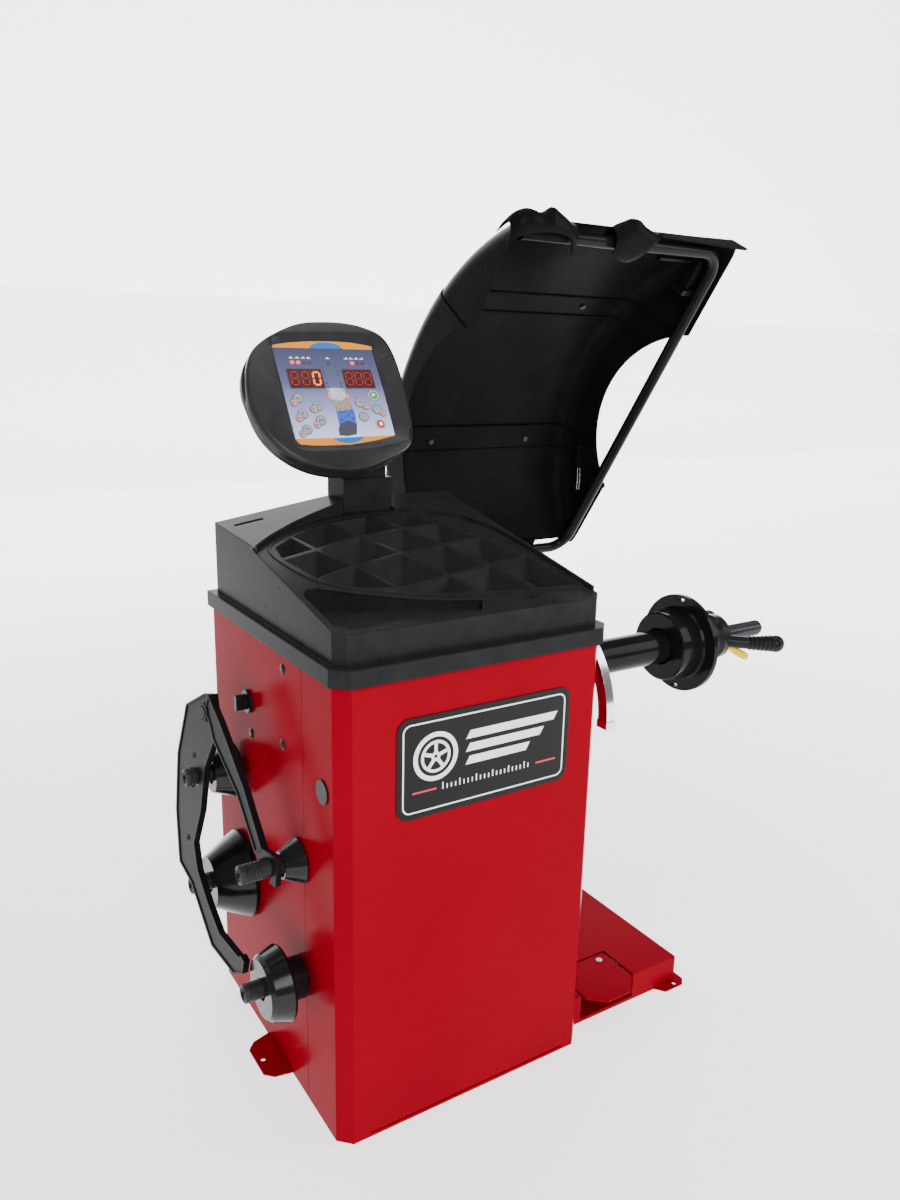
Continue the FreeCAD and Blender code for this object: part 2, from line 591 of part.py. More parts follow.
# ---------------------------------------------------------------- distance gauge
def make_gauge():
    sleeve = rod("guide sleeve", "X", (150, *GAUGE), 92, 14)
    collar = rod("guide flange", "X", (242, *GAUGE), 10, 17)
    bore = rod("guide bore", "X", (140, *GAUGE), 140, "gauge_rod_radius + run_gap")
    sensor = box("gauge sensor", (156, 196), ("gauge_back - 18", "gauge_back + 18"),
                 ("gauge_up - 60", "gauge_up - 13"))
    cut("gauge_guide", fuse("guide parts", sleeve, collar, sensor), bore)
    stem = rod("gauge stem", "X", (-50, *GAUGE), "arm_far + 54", "gauge_rod_radius")
    stop = rod("gauge collar", "X", ("arm_far", *GAUGE), 4, 12)
    fuse("gauge_rod", stem, stop)

    centre = FreeCAD.Vector(size("arm_near"), size("arm_bend_back"), size("arm_bend_up"))
    outer = size("arm_bend_outer")
    inner = outer - size("arm_depth")
    width = size("arm_far") - size("arm_near")

    def spoke(radius, degrees):
        angle = math.radians(degrees)
        return centre + FreeCAD.Vector(0, radius * math.cos(angle), radius * math.sin(angle))

    low, middle, high = (182, 157, 132)
    edges = [Part.Arc(spoke(outer, low), spoke(outer, middle), spoke(outer, high)).toShape(),
             Part.LineSegment(spoke(outer, high), spoke(inner, high)).toShape(),
             Part.Arc(spoke(inner, high), spoke(inner, middle), spoke(inner, low)).toShape(),
             Part.LineSegment(spoke(inner, low), spoke(outer, low)).toShape()]
    banana = feature("gauge arm bow", Part.Face(Part.Wire(edges)).extrude(FreeCAD.Vector(width, 0, 0)))
    hub = rod("gauge arm hub", "X", ("arm_near", *GAUGE), "arm_far - arm_near - 0.3", 16)
    foot = box("gauge arm foot", ("arm_near - 2", "arm_far + 2"),
               ("arm_bend_back - arm_bend_outer - 2", "arm_bend_back - arm_bend_outer + 24"),
               ("arm_bend_up - 14", "arm_bend_up"))
    hole = rod("gauge arm bore", "X", ("arm_near - 5", *GAUGE), 40, "gauge_rod_radius + run_gap")
    trim = box("gauge arm trim", ("arm_far - 0.3", "arm_far + 2"), ("gauge_back - 20", "gauge_back + 20"),
               ("gauge_up - 20", "gauge_up + 20"))
    cut("gauge_arm", fuse("gauge arm parts", banana, hub, foot), hole, trim)


# ---------------------------------------------------------------- weight tray
LEFT_RIM = [(-237, -20), (-215, 65)]
ROWS = [
    [(-215, 62), (-165, 104), (-77, 150), (20, 170), (108, 163)],
    [(-222, 10), (-145, 37), (-40, 77), (60, 95), (147, 108)],
    [(-196, -78), (-107, -40), (-2, -10), (97, 7), (188, 27)],
    [(-150, -122), (-80, -143), (32, -115), (132, -90), (224, -72)],
    [(-90, -155), (-50, -172), (45, -190), (155, -204), (240, -210)],
]


def rim_height(back):
    return size("tray_front_top") + size("tray_slope") * (back - size("tray_front"))


def on_rim(point, lift):
    return FreeCAD.Vector(point[0], point[1], rim_height(point[1]) + lift)


def inset(points, distance):
    """A convex outline in plan, moved inwards: each side shifts along its own normal."""
    lines = []
    for (ax, ay), (bx, by) in zip(points, points[1:] + points[:1]):
        length = math.hypot(bx - ax, by - ay)
        nx, ny = ((by - ay) / length, -(bx - ax) / length)
        lines.append((nx, ny, nx * ax + ny * ay - distance))
    corners = []
    for (a, b, c), (d, e, f) in zip([lines[-1]] + lines[:-1], lines):
        det = a * e - b * d
        corners.append(((c * e - b * f) / det, (a * f - c * d) / det))
    return corners


def closed_wire(points):
    return Part.makePolygon(points + points[:1])


def tapered_pocket(points, depth):
    """A pocket whose four walls lean in to a small flat floor."""
    top = inset(points, size("rib_half"))
    floor = []
    middle = (sum(x for x, _ in top) / len(top), sum(y for _, y in top) / len(top))
    for x, y in top:
        floor.append((middle[0] + (x - middle[0]) * 0.42, middle[1] + (y - middle[1]) * 0.42))
    flare = [(middle[0] + (x - middle[0]) * 1.02, middle[1] + (y - middle[1]) * 1.02) for x, y in top]
    low = closed_wire([on_rim(point, -depth) for point in floor])
    high = closed_wire([on_rim(point, 1) for point in flare])
    return Part.makeLoft([low, high], True, True)


def prism(points, low, high):
    face = Part.Face(closed_wire([FreeCAD.Vector(x, y, low) for x, y in points]))
    return face.extrude(FreeCAD.Vector(0, 0, high - low))


def above_plane(point, normal, reach=2400):
    """A large block that lies above a sloping plane."""
    block = Part.makeBox(reach, reach, reach, FreeCAD.Vector(-reach / 2, -reach / 2, 0))
    block.Placement = FreeCAD.Placement(point, FreeCAD.Rotation(FreeCAD.Vector(0, 0, 1), normal))
    return block


def make_tray():
    half, front, rear = (size("tray_half_width"), size("tray_front"), size("tray_rear"))
    low, shoulder = (size("cabinet_height"), size("skirt_top"))
    cut_off = 16
    body_plan = [(half, rear), (-half, rear), (-half, front + cut_off), (-half + cut_off, front),
                 (half - cut_off, front), (half, front + cut_off)]
    rim_plane = above_plane(on_rim((0, front), 0), FreeCAD.Vector(0, -size("tray_slope"), 1))
    body = prism(body_plan, shoulder - 4, 1100).cut(rim_plane)

    deck_arc = Part.Arc(FreeCAD.Vector(-half - 2, 54, 0), FreeCAD.Vector(-150, 132, 0),
                        FreeCAD.Vector(-20, 186, 0)).toShape()
    deck_sides = Part.makePolygon([FreeCAD.Vector(-20, 186, 0), FreeCAD.Vector(-20, rear, 0),
                                   FreeCAD.Vector(-half - 2, rear, 0),
                                   FreeCAD.Vector(-half - 2, 54, 0)])
    deck = Part.Face(Part.Wire([deck_arc] + deck_sides.Edges)).extrude(FreeCAD.Vector(0, 0, 300))
    deck.translate(FreeCAD.Vector(0, 0, shoulder))
    over_deck = above_plane(FreeCAD.Vector(-half, 54, 954), FreeCAD.Vector(-0.16, -0.06, 1))
    body = body.cut(deck.common(over_deck))
    deck = deck.common(prism(body_plan, shoulder - 4, 1100)).cut(over_deck)
    right_plan = [(86, rear), (86, 180), (150, 156), (206, 118), (236, 50), (half - 6, -60),
                  (half - 5, -236),
                  (half + 1, -236), (half + 1, rear)]
    right_deck = prism(right_plan, shoulder, 1100).common(prism(body_plan, shoulder - 4, 1100))
    right_deck = right_deck.cut(above_plane(on_rim((0, front), 8),
                                            FreeCAD.Vector(0, -size("tray_slope"), 1)))
    body = body.fuse([deck, right_deck])

    skirt_half, skirt_deep, chamfer = (size("skirt_half_width"), size("skirt_half_depth"), 24)
    skirt_plan = [(skirt_half, skirt_deep), (-skirt_half, skirt_deep), (-skirt_half, -skirt_deep + chamfer),
                  (-skirt_half + chamfer, -skirt_deep), (skirt_half - chamfer, -skirt_deep),
                  (skirt_half, -skirt_deep + chamfer)]
    body = body.fuse(prism(skirt_plan, low, shoulder))

    wall = 4
    inner_plan = [(half - wall, rear - wall), (-half + wall, rear - wall),
                  (-half + wall, front + cut_off + wall),
                  (-half + cut_off + wall, front + wall), (half - cut_off - wall, front + wall),
                  (half - wall, front + cut_off + wall)]
    under = above_plane(on_rim((0, front), -size("pocket_depth") - 6),
                        FreeCAD.Vector(0, -size("tray_slope"), 1))
    body = body.cut(prism(inner_plan, low - 5, 1100).cut(under))

    pockets = []
    for upper, lower in zip(ROWS, ROWS[1:]):
        for column in range(4):
            if (upper, column) != (ROWS[3], 0):
                cell = [lower[column], lower[column + 1], upper[column + 1], upper[column]]
                pockets.append(tapered_pocket(cell, size("pocket_depth")))
    for pocket in pockets:
        body = body.cut(pocket)
    corner_plan = [(-240, -246), (-240, -124), (-228, -106), (-204, -106), (-150, -142), (-96, -172),
                   (-40, -195), (34, -214),
                   (10, -248), (-222, -248)]
    corner = prism(corner_plan, size("corner_floor"), 1100)
    turns = [edge for edge in corner.Edges if edge.Length > 100 and edge.valueAt(edge.FirstParameter).x < -200]
    body = body.cut(corner.makeFillet(7, turns))
    boss = Part.makeCylinder(9, 6, FreeCAD.Vector(-228, -236, size("corner_floor") - 1))
    slot = Part.makeBox(56, 12, 40, FreeCAD.Vector(-232, 196, 948))
    body = body.fuse(boss).cut(slot).removeSplitter()
    feature("weight_tray", body)


# ---------------------------------------------------------------- display
def head_point(across, up, out):
    """A point of the display in the row frame: across and up its face, and out of it."""
    tilt = math.radians(size("head_tilt"))
    return FreeCAD.Vector(size("head_across") + across,
                          size("head_back") + up * math.sin(tilt) - out * math.cos(tilt),
                          size("head_up") + up * math.cos(tilt) + out * math.sin(tilt))


HEAD_RIM = [(-174, -12), (-146, 84), (-60, 140), (14, 153), (90, 146), (140, 112), (150, 10), (136, -95),
            (97, -130),
            (0, -161), (-100, -143), (-156, -88)]


def head_face(scale, out):
    """The egg-shaped outline of the display head, a closed curve through a few points, at a depth."""
    points = [head_point(across * scale, (up + 4) * scale - 4, out) for across, up in HEAD_RIM]
    curve = Part.BSplineCurve()
    curve.interpolate(points, PeriodicFlag=True)
    return Part.Face(Part.Wire(curve.toShape()))


def head_slab(scale, low, high):
    push = head_point(0, 0, high) - head_point(0, 0, low)
    return head_face(scale, low).extrude(push)


def head_loft(first, second):
    """A solid between two outlines, each (scale, depth)."""
    wires = [head_face(*first).OuterWire, head_face(*second).OuterWire]
    return Part.makeLoft(wires, True, True)


def head_block(across, up, out):
    """A block square to the display, from three (low, high) pairs."""
    corner = [head_point(x, y, out[0]) for x, y in ((across[0], up[0]), (across[1], up[0]),
                                                    (across[1], up[1]), (across[0], up[1]))]
    return Part.Face(closed_wire(corner)).extrude(head_point(0, 0, out[1]) - head_point(0, 0, out[0]))


READOUTS = [(-86, -18), (26, 87)]
MAIN_KEYS = {"start_key": (78, -5), "stop_key": (76, -67)}


def make_display():
    wall, depth, shell = (size("shell_wall"), size("bezel_depth"), size("shell_depth"))
    half_wide, half_high = (size("panel_width") / 2, size("panel_height") / 2)
    front = 6
    bezel = head_slab(1, front - depth, front - 5).fuse(head_loft((1, front - 5), (0.965, front)))
    bezel = bezel.cut(head_slab(0.965, front - depth - 1, front - 6))
    window = head_block((-half_wide, half_wide), (-half_high, half_high), (-30, 30))
    feature("display_bezel", bezel.cut(window).removeSplitter())

    back = front - depth
    solid = head_slab(1, back - 12, back).fuse([head_loft((1, back - 12), (0.9, back - 32)),
                                                head_loft((0.9, back - 32), (0.66, back - shell))])
    hollow = head_slab(0.965, back - 12, back + 1).fuse([head_loft((0.965, back - 12), (0.86, back - 30)),
                                                        head_loft((0.86, back - 30),
                                                                  (0.62, back - shell + wall))])
    outside = solid.removeSplitter()
    feature("display_rear_shell", outside.cut(hollow).removeSplitter())

    panel = head_block((-half_wide, half_wide), (-half_high, half_high), (-3, 0))
    windows = [head_block((low, high), (11, 50), (-9, 9)) for low, high in READOUTS]
    keys = [head_block((x - 8.5, x + 8.5), (y - 8.5, y + 8.5), (-9, 9)) for x, y in MAIN_KEYS.values()]
    feature("key_panel", panel.cut(windows + keys))
    feature("readouts", Part.makeCompound([head_block((low, high), (11, 50), (-6, 0.4)) for low,
                                           high in READOUTS]))
    domes = []
    for x, y in ((-78, -11), (-43, -27), (-77, -43), (-44, -57), (-76, -75), (45, -21), (77, -36),
                 (45, -51)):
        domes.append(Part.makeCylinder(9, 1.2, head_point(x, y, 0),
                                       head_point(0, 0, 1) - head_point(0, 0, 0)))
    feature("function_keys", Part.makeCompound(domes))
    for label, (x, y) in MAIN_KEYS.items():
        feature(label, Part.makeCylinder(8, 3.2, head_point(x, y, -1.4),
                                         head_point(0, 0, 1) - head_point(0, 0, 0)))
    board = head_block((-96, 96), (-90, 90), (-14, -12))
    spacers = [head_block((x - 4, x + 4), (y - 4, y + 4), (-12, -3)) for x in (-90, 90) for y in (-84, 84)]
    feature("display_board", board.fuse(spacers))

    lower = Part.makeBox(size("post_right") - size("post_left"), size("post_rear") - size("post_front"), 90,
                         FreeCAD.Vector(size("post_left"), size("post_front"), size("post_step") - 90))
    upper = Part.makeBox(96, 62, 90, FreeCAD.Vector(size("post_left") - 4, size("post_front") + 3,
                                                    size("post_step")))
    bore = Part.makeBox(84, 50, 400, FreeCAD.Vector(size("post_left") + 3, size("post_front") + 9,
                                                    size("post_step") - 150))
    post = lower.fuse(upper).cut(bore).cut(outside)
    tray = doc.getObjectsByLabel("weight_tray")[0].Shape
    post = post.cut(tray)
    solids = sorted(post.Solids, key=lambda piece: piece.Volume)
    feature("display_post", solids[-1])


# ---------------------------------------------------------------- wheel guard
def hood_point(across, along, behind):
    """A point of the open hood: across it, along its frame from the hinge, and behind the frame."""
    lean = math.radians(size("hood_lean"))
    return FreeCAD.Vector(across, size("hinge_back") - along * math.sin(lean) + behind * math.cos(lean),
                          size("hinge_up") + along * math.cos(lean) + behind * math.sin(lean))


def back_depth(along, extra):
    """How far the hood's back lies behind the frame."""
    radius = size("hood_arc") + extra
    return math.sqrt(radius ** 2 - (along - size("hood_arc_along")) ** 2) - size("hood_arc_drop")


def hood_pod(extra, low, high, left, right, corner):
    """A solid with the hood's outline between two places along the frame, its back edges rounded."""
    middle = (low + high) / 2
    start, centre, end = [hood_point(left, along, back_depth(along, extra)) for along in (low, middle, high)]
    front = -6
    edges = [Part.Arc(start, centre, end).toShape(),
             Part.LineSegment(end, hood_point(left, high, front)).toShape(),
             Part.LineSegment(hood_point(left, high, front), hood_point(left, low, front)).toShape(),
             Part.LineSegment(hood_point(left, low, front), start).toShape()]
    solid = Part.Face(Part.Wire(edges)).extrude(FreeCAD.Vector(right + 40 - left, 0, 0))
    flare = size("hood_flare")
    beyond = [(right - flare * front, front), (right + 60, front - 10), (right + 60, 400),
              (right - flare * 400, 400)]
    corners = [hood_point(across, low - 20, behind) for across, behind in beyond]
    along = hood_point(0, high + 20, 0) - hood_point(0, low - 20, 0)
    solid = solid.cut(Part.Face(closed_wire(corners)).extrude(along))
    round_edges = []
    for edge in solid.Edges:
        point = edge.valueAt((edge.FirstParameter + edge.LastParameter) / 2)
        place_along, behind = hood_place(point)
        on_back = abs(behind - back_depth(place_along, extra)) < 0.5
        if on_back and low + 1 < place_along < high - 1:
            round_edges.append(edge)
    return solid.makeFillet(corner, round_edges)


def hood_place(point):
    """Along and behind the hood's frame, for a point of the row frame."""
    lean = math.radians(size("hood_lean"))
    back, up = (point.y - size("hinge_back"), point.z - size("hinge_up"))
    return (-back * math.sin(lean) + up * math.cos(lean), back * math.cos(lean) + up * math.sin(lean))


def hood_shell(extra, low, high):
    """One panel of the hood: back, two side walls with their arc cut-out, open to the front."""
    left, right, wall = (size("hood_left") - extra, size("hood_right") + extra, size("hood_wall"))
    outer = hood_pod(extra, low, high, left, right, size("hood_corner") + extra)
    inner = hood_pod(extra - wall, low - 10, high + 10, left + wall, right - wall,
                     size("hood_corner") + extra - wall)
    cut_centre = hood_point(left - 20, size("cut_along"), -size("cut_drop"))
    cut_out = Part.makeCylinder(size("cut_arc"), right - left + 60, cut_centre, FreeCAD.Vector(1, 0, 0))
    return outer.cut(inner).cut(cut_out)


def tube_path(points, bend):
    """Straight runs joined by tangent arcs."""
    edges = []
    start = points[0]
    for before, corner, after in zip(points, points[1:], points[2:]):
        back = (before - corner).normalize()
        ahead = (after - corner).normalize()
        half_turn = (math.pi - back.getAngle(ahead)) / 2
        reach = bend * math.tan(half_turn)
        enter = corner + back * reach
        leave = corner + ahead * reach
        towards = (back + ahead).normalize()
        middle = corner + towards * (bend / math.cos(half_turn) - bend)
        edges.append(Part.LineSegment(start, enter).toShape())
        edges.append(Part.Arc(enter, middle, leave).toShape())
        start = leave
    edges.append(Part.LineSegment(start, points[-1]).toShape())
    return Part.Wire(edges)


def tube(points, bend, radius):
    path = tube_path(points, bend)
    heading = (points[1] - points[0]).normalize()
    ring = Part.Wire(Part.makeCircle(radius, points[0], heading))
    return path.makePipeShell([ring], True, True)


def biggest(shape):
    """The main solid of a cut shape, without its offcuts."""
    return sorted(shape.Solids, key=lambda piece: piece.Volume)[-1]


def make_hood():
    radius, wall = (size("tube_radius"), size("tube_wall"))
    right, length = (size("frame_right"), size("frame_length"))
    points = [hood_point(30, 0, 0), hood_point(right, 0, 0), hood_point(right, length, 8),
              hood_point(300, length, 8)]
    room = tube(points, 52, radius + 0.4)
    frame = tube(points, 52, radius).cut(tube(points, 52, radius - wall))
    feature("hood_frame", frame)

    lower = hood_shell(0, 18, 285)
    middle = hood_shell(3.1, 217, 662)
    upper = hood_shell(0, 603, size("hood_top"))
    hinge_clear = Part.makeCylinder(radius, 1200, hood_point(0, 0, 0), FreeCAD.Vector(1, 0, 0))
    feet = [hood_block((low, low + 50), (6, 24), (9, 18)) for low in (330, 690)]
    lower = lower.cut(room).fuse([foot.cut(hinge_clear) for foot in feet])
    feature("hood_lower_panel", biggest(lower.removeSplitter()))
    feature("hood_middle_panel", biggest(middle.cut(room)))
    bar = hood_point(0, length, 8)
    saddles = []
    for low, high in ((300, 400), (528, 606)):
        ring = Part.makeCylinder(radius + 2.5, high - low, bar + FreeCAD.Vector(low, 0, 0),
                                 FreeCAD.Vector(1, 0, 0))
        saddles.append(ring.cut(hood_block((low - 1, high + 1), (length - 30, length - 3), (-40, 60))))
        saddles.append(hood_block((low, high), (length - 2, length + 2),
                                  (8 + radius, back_depth(length, 0) - 1)))
    hole = Part.makeCylinder(radius, 400, bar + FreeCAD.Vector(290, 0, 0), FreeCAD.Vector(1, 0, 0))
    lip = [hood_point(x, 902, v) for x, v in ((640, 12), (866, 20), (884, -14), (872, -18), (640, -2))]
    lip = Part.Face(closed_wire(lip)).extrude(hood_point(0, 905, 0) - hood_point(0, 902, 0))
    upper = upper.cut(room).fuse(saddles + [lip]).cut(hole).removeSplitter()
    feature("hood_upper_panel", biggest(upper))

    arms = []
    for low in (60, 205):
        arms.append(Part.makeBox(40, size("hinge_back") - size("cabinet_half_depth"), 44,
                                 FreeCAD.Vector(low, size("cabinet_half_depth"), size("hinge_up") - 22)))
        arms.append(Part.makeCylinder(24, 40, FreeCAD.Vector(low, size("hinge_back"), size("hinge_up")),
                                      FreeCAD.Vector(1, 0, 0)))
    plate = Part.makeBox(220, 5, 76, FreeCAD.Vector(42, size("cabinet_half_depth"), size("hinge_up") - 46))
    bore = Part.makeCylinder(radius + size("run_gap"), 1000,
                             FreeCAD.Vector(0, size("hinge_back"), size("hinge_up")),
                             FreeCAD.Vector(1, 0, 0))
    feature("hood_hinge_bracket", plate.fuse(arms).cut(bore).removeSplitter())


def hood_block(across, along, behind):
    """A block square to the hood frame, from three (low, high) pairs."""
    corners = [hood_point(across[0], u, v) for u,
               v in ((along[0], behind[0]), (along[1], behind[0]), (along[1], behind[1]),
                     (along[0], behind[1]))]
    return Part.Face(closed_wire(corners)).extrude(FreeCAD.Vector(across[1] - across[0], 0, 0))


# ---------------------------------------------------------------- pegs, cones and caliper
PEGS = {"a": ("peg_rear", 521), "b": ("peg_rear", 302), "c": ("peg_front", 462), "d": ("peg_front", 243)}
CONES = {
    "small_cone": ("c", [(-290, 23), (-258, 38.5)]),
    "medium_cone": ("a", [(-314, 35), (-271, 52), (-266, 50)]),
    "large_cone": ("d", [(-330, 50), (-323, 56), (-295, 65.5), (-290, 63), (-290, 36), (-258, 36)]),
    "truck_cone": ("b", [(-325, 48), (-263, 84), (-258, 83)]),
}
HANG = 2.5


def make_left_side():
    rods, sleeves = [], []
    for back, up in PEGS.values():
        bar = rod("peg bar", "X", ("-peg_reach + 4", back, up), "peg_reach - 4 - cabinet_half_width",
                  "peg_radius")
        rods.append(bar)
        skin = rod("sleeve skin", "X", ("-peg_reach", back, up), "peg_reach - cabinet_half_width - 1",
                   "sleeve_radius")
        hole = rod("sleeve bore", "X", ("-peg_reach + 4", back, up), 140, "peg_radius")
        sleeves.append(cut("sleeve", skin, hole))
    group("storage_pegs", *rods)
    group("peg_sleeves", *sleeves)
    for label, (peg, outline) in CONES.items():
        back, up = PEGS[peg]
        inner = [(outline[-1][0], "cone_bore"), (outline[0][0], "cone_bore")]
        turned(label, outline + inner, (back, "%s - %s" % (up, HANG)))


CALIPER_LEAN = FreeCAD.Vector(1, 0.183, -0.1155)
LEFT_ARM = [(188, 647), (127, 684), (100, 690), (84, 650), (80, 614), (106, 552), (108, 470), (124, 401),
            (104, 356),
            (62, 312), (16, 274), (-50, 262), (-56, 268), (-68, 262), (-66, 238), (-39, 223), (39, 238),
            (125, 322),
            (172, 344), (198, 438), (207, 547)]
RIGHT_ARM = [(96, 692), (51, 655), (-39, 569), (-66, 536), (-112, 484), (-106, 462), (-92, 466), (-19, 550),
             (69, 617),
             (84, 640), (108, 662)]


def caliper_point(back, up, out):
    """A point on the caliper's sloping plane, or out of it towards the cabinet."""
    unit = FreeCAD.Vector(CALIPER_LEAN).normalize()
    return FreeCAD.Vector(-379.4 - 0.183 * back + 0.1155 * up, back, up) + unit * out


def caliper_plate(points, low, high):
    unit = FreeCAD.Vector(CALIPER_LEAN).normalize()
    return Part.Face(closed_wire([caliper_point(back, up, low) for back,
                                  up in points])).extrude(unit * (high - low))


def make_caliper():
    unit = FreeCAD.Vector(CALIPER_LEAN).normalize()
    pivot = (110, 655)
    thick = 10
    hang_hole = Part.makeCylinder(size("sleeve_radius") + 2.5, 200,
                                  FreeCAD.Vector(-430, size("peg_rear"), 521 - 2.1), FreeCAD.Vector(1, 0, 0))
    left = caliper_plate(LEFT_ARM, 0.5, 0.5 + thick).cut(hang_hole)
    pin = Part.makeCylinder(6, 2 * thick + 4, caliper_point(*pivot, -thick - 1.5), unit)
    head = Part.makeCylinder(11, 2, caliper_point(*pivot, -thick - 3.5), unit)
    feature("caliper_body", left.fuse([pin, head]).removeSplitter())

    peg = (size("peg_front"), 462)
    right = caliper_plate(RIGHT_ARM, -thick, 0)
    boss = Part.makeCylinder(17, thick, caliper_point(*pivot, -thick), unit)
    block = [(peg[0] + across, peg[1] + along) for across,
             along in ((-27, -22), (25, -22), (25, 26), (-27, 26))]
    ring = caliper_plate(block, -thick, 0)
    straight = FreeCAD.Vector(1, 0, 0)
    seat = Part.makeCylinder(size("sleeve_radius") + 2, 120, FreeCAD.Vector(-360, peg[0], peg[1]), straight)
    mouth_points = []
    heading = (0.64, -0.77)
    for reach, half in ((0, -19), (60, -27), (60, 27), (0, 19)):
        mouth_points.append((peg[0] + heading[0] * reach - heading[1] * half,
                             peg[1] + heading[1] * reach + heading[0] * half))
    mouth = caliper_plate(mouth_points, -thick - 30, 30)
    pin_hole = Part.makeCylinder(6 + size("run_gap"), 80, caliper_point(*pivot, -40), unit)
    feature("caliper_arm", right.fuse([boss, ring]).cut(seat).cut(mouth).cut(pin_hole).removeSplitter())


# ---------------------------------------------------------------- build and write
NODES = [
    "base_pan", "front_cover", "left_side_panel", "right_side_panel", "rear_panel", "left_anchor_tab",
         "label_plate",
    "cover_screws_and_plug", "power_switch_body", "power_switch_knob", "mains_inlet", "power_board",
    "platform", "right_anchor_tab", "brake_pedal", "pedal_shaft", "pedal_bearings", "brake_rod",
    "pedestal", "spindle_cradle", "force_sensors", "spindle_housing", "spindle_bearings", "spindle_shaft",
    "wheel_flange", "spindle_pulley", "encoder_disc", "encoder_sensor", "pressure_cup", "quick_nut",
         "release_lever",
    "motor_housing", "motor_pulley", "drive_belt", "gauge_guide", "gauge_rod", "gauge_arm", "weight_tray",
    "display_post", "display_bezel", "display_rear_shell", "key_panel", "readouts", "function_keys",
         "start_key",
    "stop_key", "display_board", "hood_frame", "hood_lower_panel", "hood_middle_panel", "hood_upper_panel",
    "hood_hinge_bracket", "storage_pegs", "peg_sleeves", "small_cone", "medium_cone", "large_cone",
         "truck_cone",
    "caliper_body", "caliper_arm",
]

make_cabinet()
make_platform()
make_pedestal()
make_spindle()
make_gauge()
make_tray()
make_display()
make_hood()
make_left_side()
make_caliper()
doc.recompute()

for thing in doc.Objects:
    if "Invalid" in thing.State or "Error" in thing.State:
        raise RuntimeError("%s did not build: %s" % (thing.Label, thing.State))
os.makedirs("parts", exist_ok=True)
for label in NODES:
    shape = doc.getObjectsByLabel(label)[0].Shape
    if shape.isNull() or not shape.isValid() or not shape.Solids:
        raise RuntimeError("%s has no valid solid" % label)
for label in NODES:
    doc.getObjectsByLabel(label)[0].Shape.exportStep("parts/%s.step" % label)
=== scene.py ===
"""Wheel balancer machine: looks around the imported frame.

Pieces are given in millimetres, and solid() makes them metres. Camera, lights, floor and finishes are in
metres. X runs along the spindle, -Y out of the label face, Z up.
"""
import bmesh
import bpy
import math
from mathutils import Matrix, Vector


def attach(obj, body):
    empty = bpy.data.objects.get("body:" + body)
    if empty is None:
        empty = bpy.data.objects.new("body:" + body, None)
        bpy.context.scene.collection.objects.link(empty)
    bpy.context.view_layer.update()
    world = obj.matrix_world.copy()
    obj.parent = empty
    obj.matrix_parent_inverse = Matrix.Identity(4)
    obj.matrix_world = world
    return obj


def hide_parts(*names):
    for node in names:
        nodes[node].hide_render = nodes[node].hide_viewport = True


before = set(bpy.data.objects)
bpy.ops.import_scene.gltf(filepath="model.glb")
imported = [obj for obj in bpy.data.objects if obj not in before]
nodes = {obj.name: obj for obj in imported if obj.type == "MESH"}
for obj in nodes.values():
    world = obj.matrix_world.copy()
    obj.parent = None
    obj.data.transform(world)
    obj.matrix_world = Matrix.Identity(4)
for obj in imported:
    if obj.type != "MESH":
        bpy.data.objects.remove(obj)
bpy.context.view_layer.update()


# ---------------------------------------------------------------- camera, light, floor
def make_camera():
    """The photograph's camera: its place in metres, its turn in radians, its lens in millimetres."""
    place = (-0.8126, -1.4409, 1.2734)
    yaw, pitch, roll = 0.5683, 0.2525, 0.0218
    ahead = Vector((math.sin(yaw) * math.cos(pitch), math.cos(yaw) * math.cos(pitch), -math.sin(pitch)))
    right = Vector((math.cos(yaw), -math.sin(yaw), 0))
    up = right.cross(ahead)
    side = math.cos(roll) * right + math.sin(roll) * up
    top = -math.sin(roll) * right + math.cos(roll) * up
    turn = Matrix((side, top, -ahead)).transposed().to_4x4()
    data = bpy.data.cameras.new("camera")
    data.sensor_width = 36
    data.lens = 28.43
    data.clip_end = 60
    camera = bpy.data.objects.new("camera", data)
    camera.matrix_world = Matrix.Translation(place) @ turn
    bpy.context.scene.collection.objects.link(camera)
    bpy.context.scene.camera = camera


def area_light(name, place, target, size, power):
    data = bpy.data.lights.new(name, "AREA")
    data.shape = "RECTANGLE"
    data.size, data.size_y = size
    data.energy = power
    light = bpy.data.objects.new(name, data)
    light.location = place
    light.rotation_euler = (Vector(target) - Vector(place)).to_track_quat("-Z", "Y").to_euler()
    bpy.context.scene.collection.objects.link(light)


def make_studio():
    """A pale world and four soft lights, in watts."""
    world = bpy.data.worlds.new("studio")
    world.use_nodes = True
    background = world.node_tree.nodes["Background"]
    background.inputs["Color"].default_value = (1, 1, 1, 1)
    background.inputs["Strength"].default_value = 0.3
    bpy.context.scene.world = world
    area_light("key", (-0.9, -3.2, 2.4), (0.1, 0, 0.7), (1.8, 1.8), 96)
    area_light("side", (-3.2, 0.9, 1.3), (-0.2, 0, 0.6), (1.0, 2.4), 9)
    area_light("right", (3.0, -1.8, 2.4), (0.5, 0, 0.8), (1.4, 2.0), 44)
    area_light("top", (0.2, 0.1, 3.6), (0.2, 0.1, 0.6), (2.6, 2.2), 50)


def eased(tree, start, end):
    """A node that goes smoothly from one (input, output) pair to another."""
    node = tree.nodes.new("ShaderNodeMapRange")
    node.interpolation_type = "SMOOTHSTEP"
    node.inputs["From Min"].default_value, node.inputs["To Min"].default_value = start
    node.inputs["From Max"].default_value, node.inputs["To Max"].default_value = end
    return node


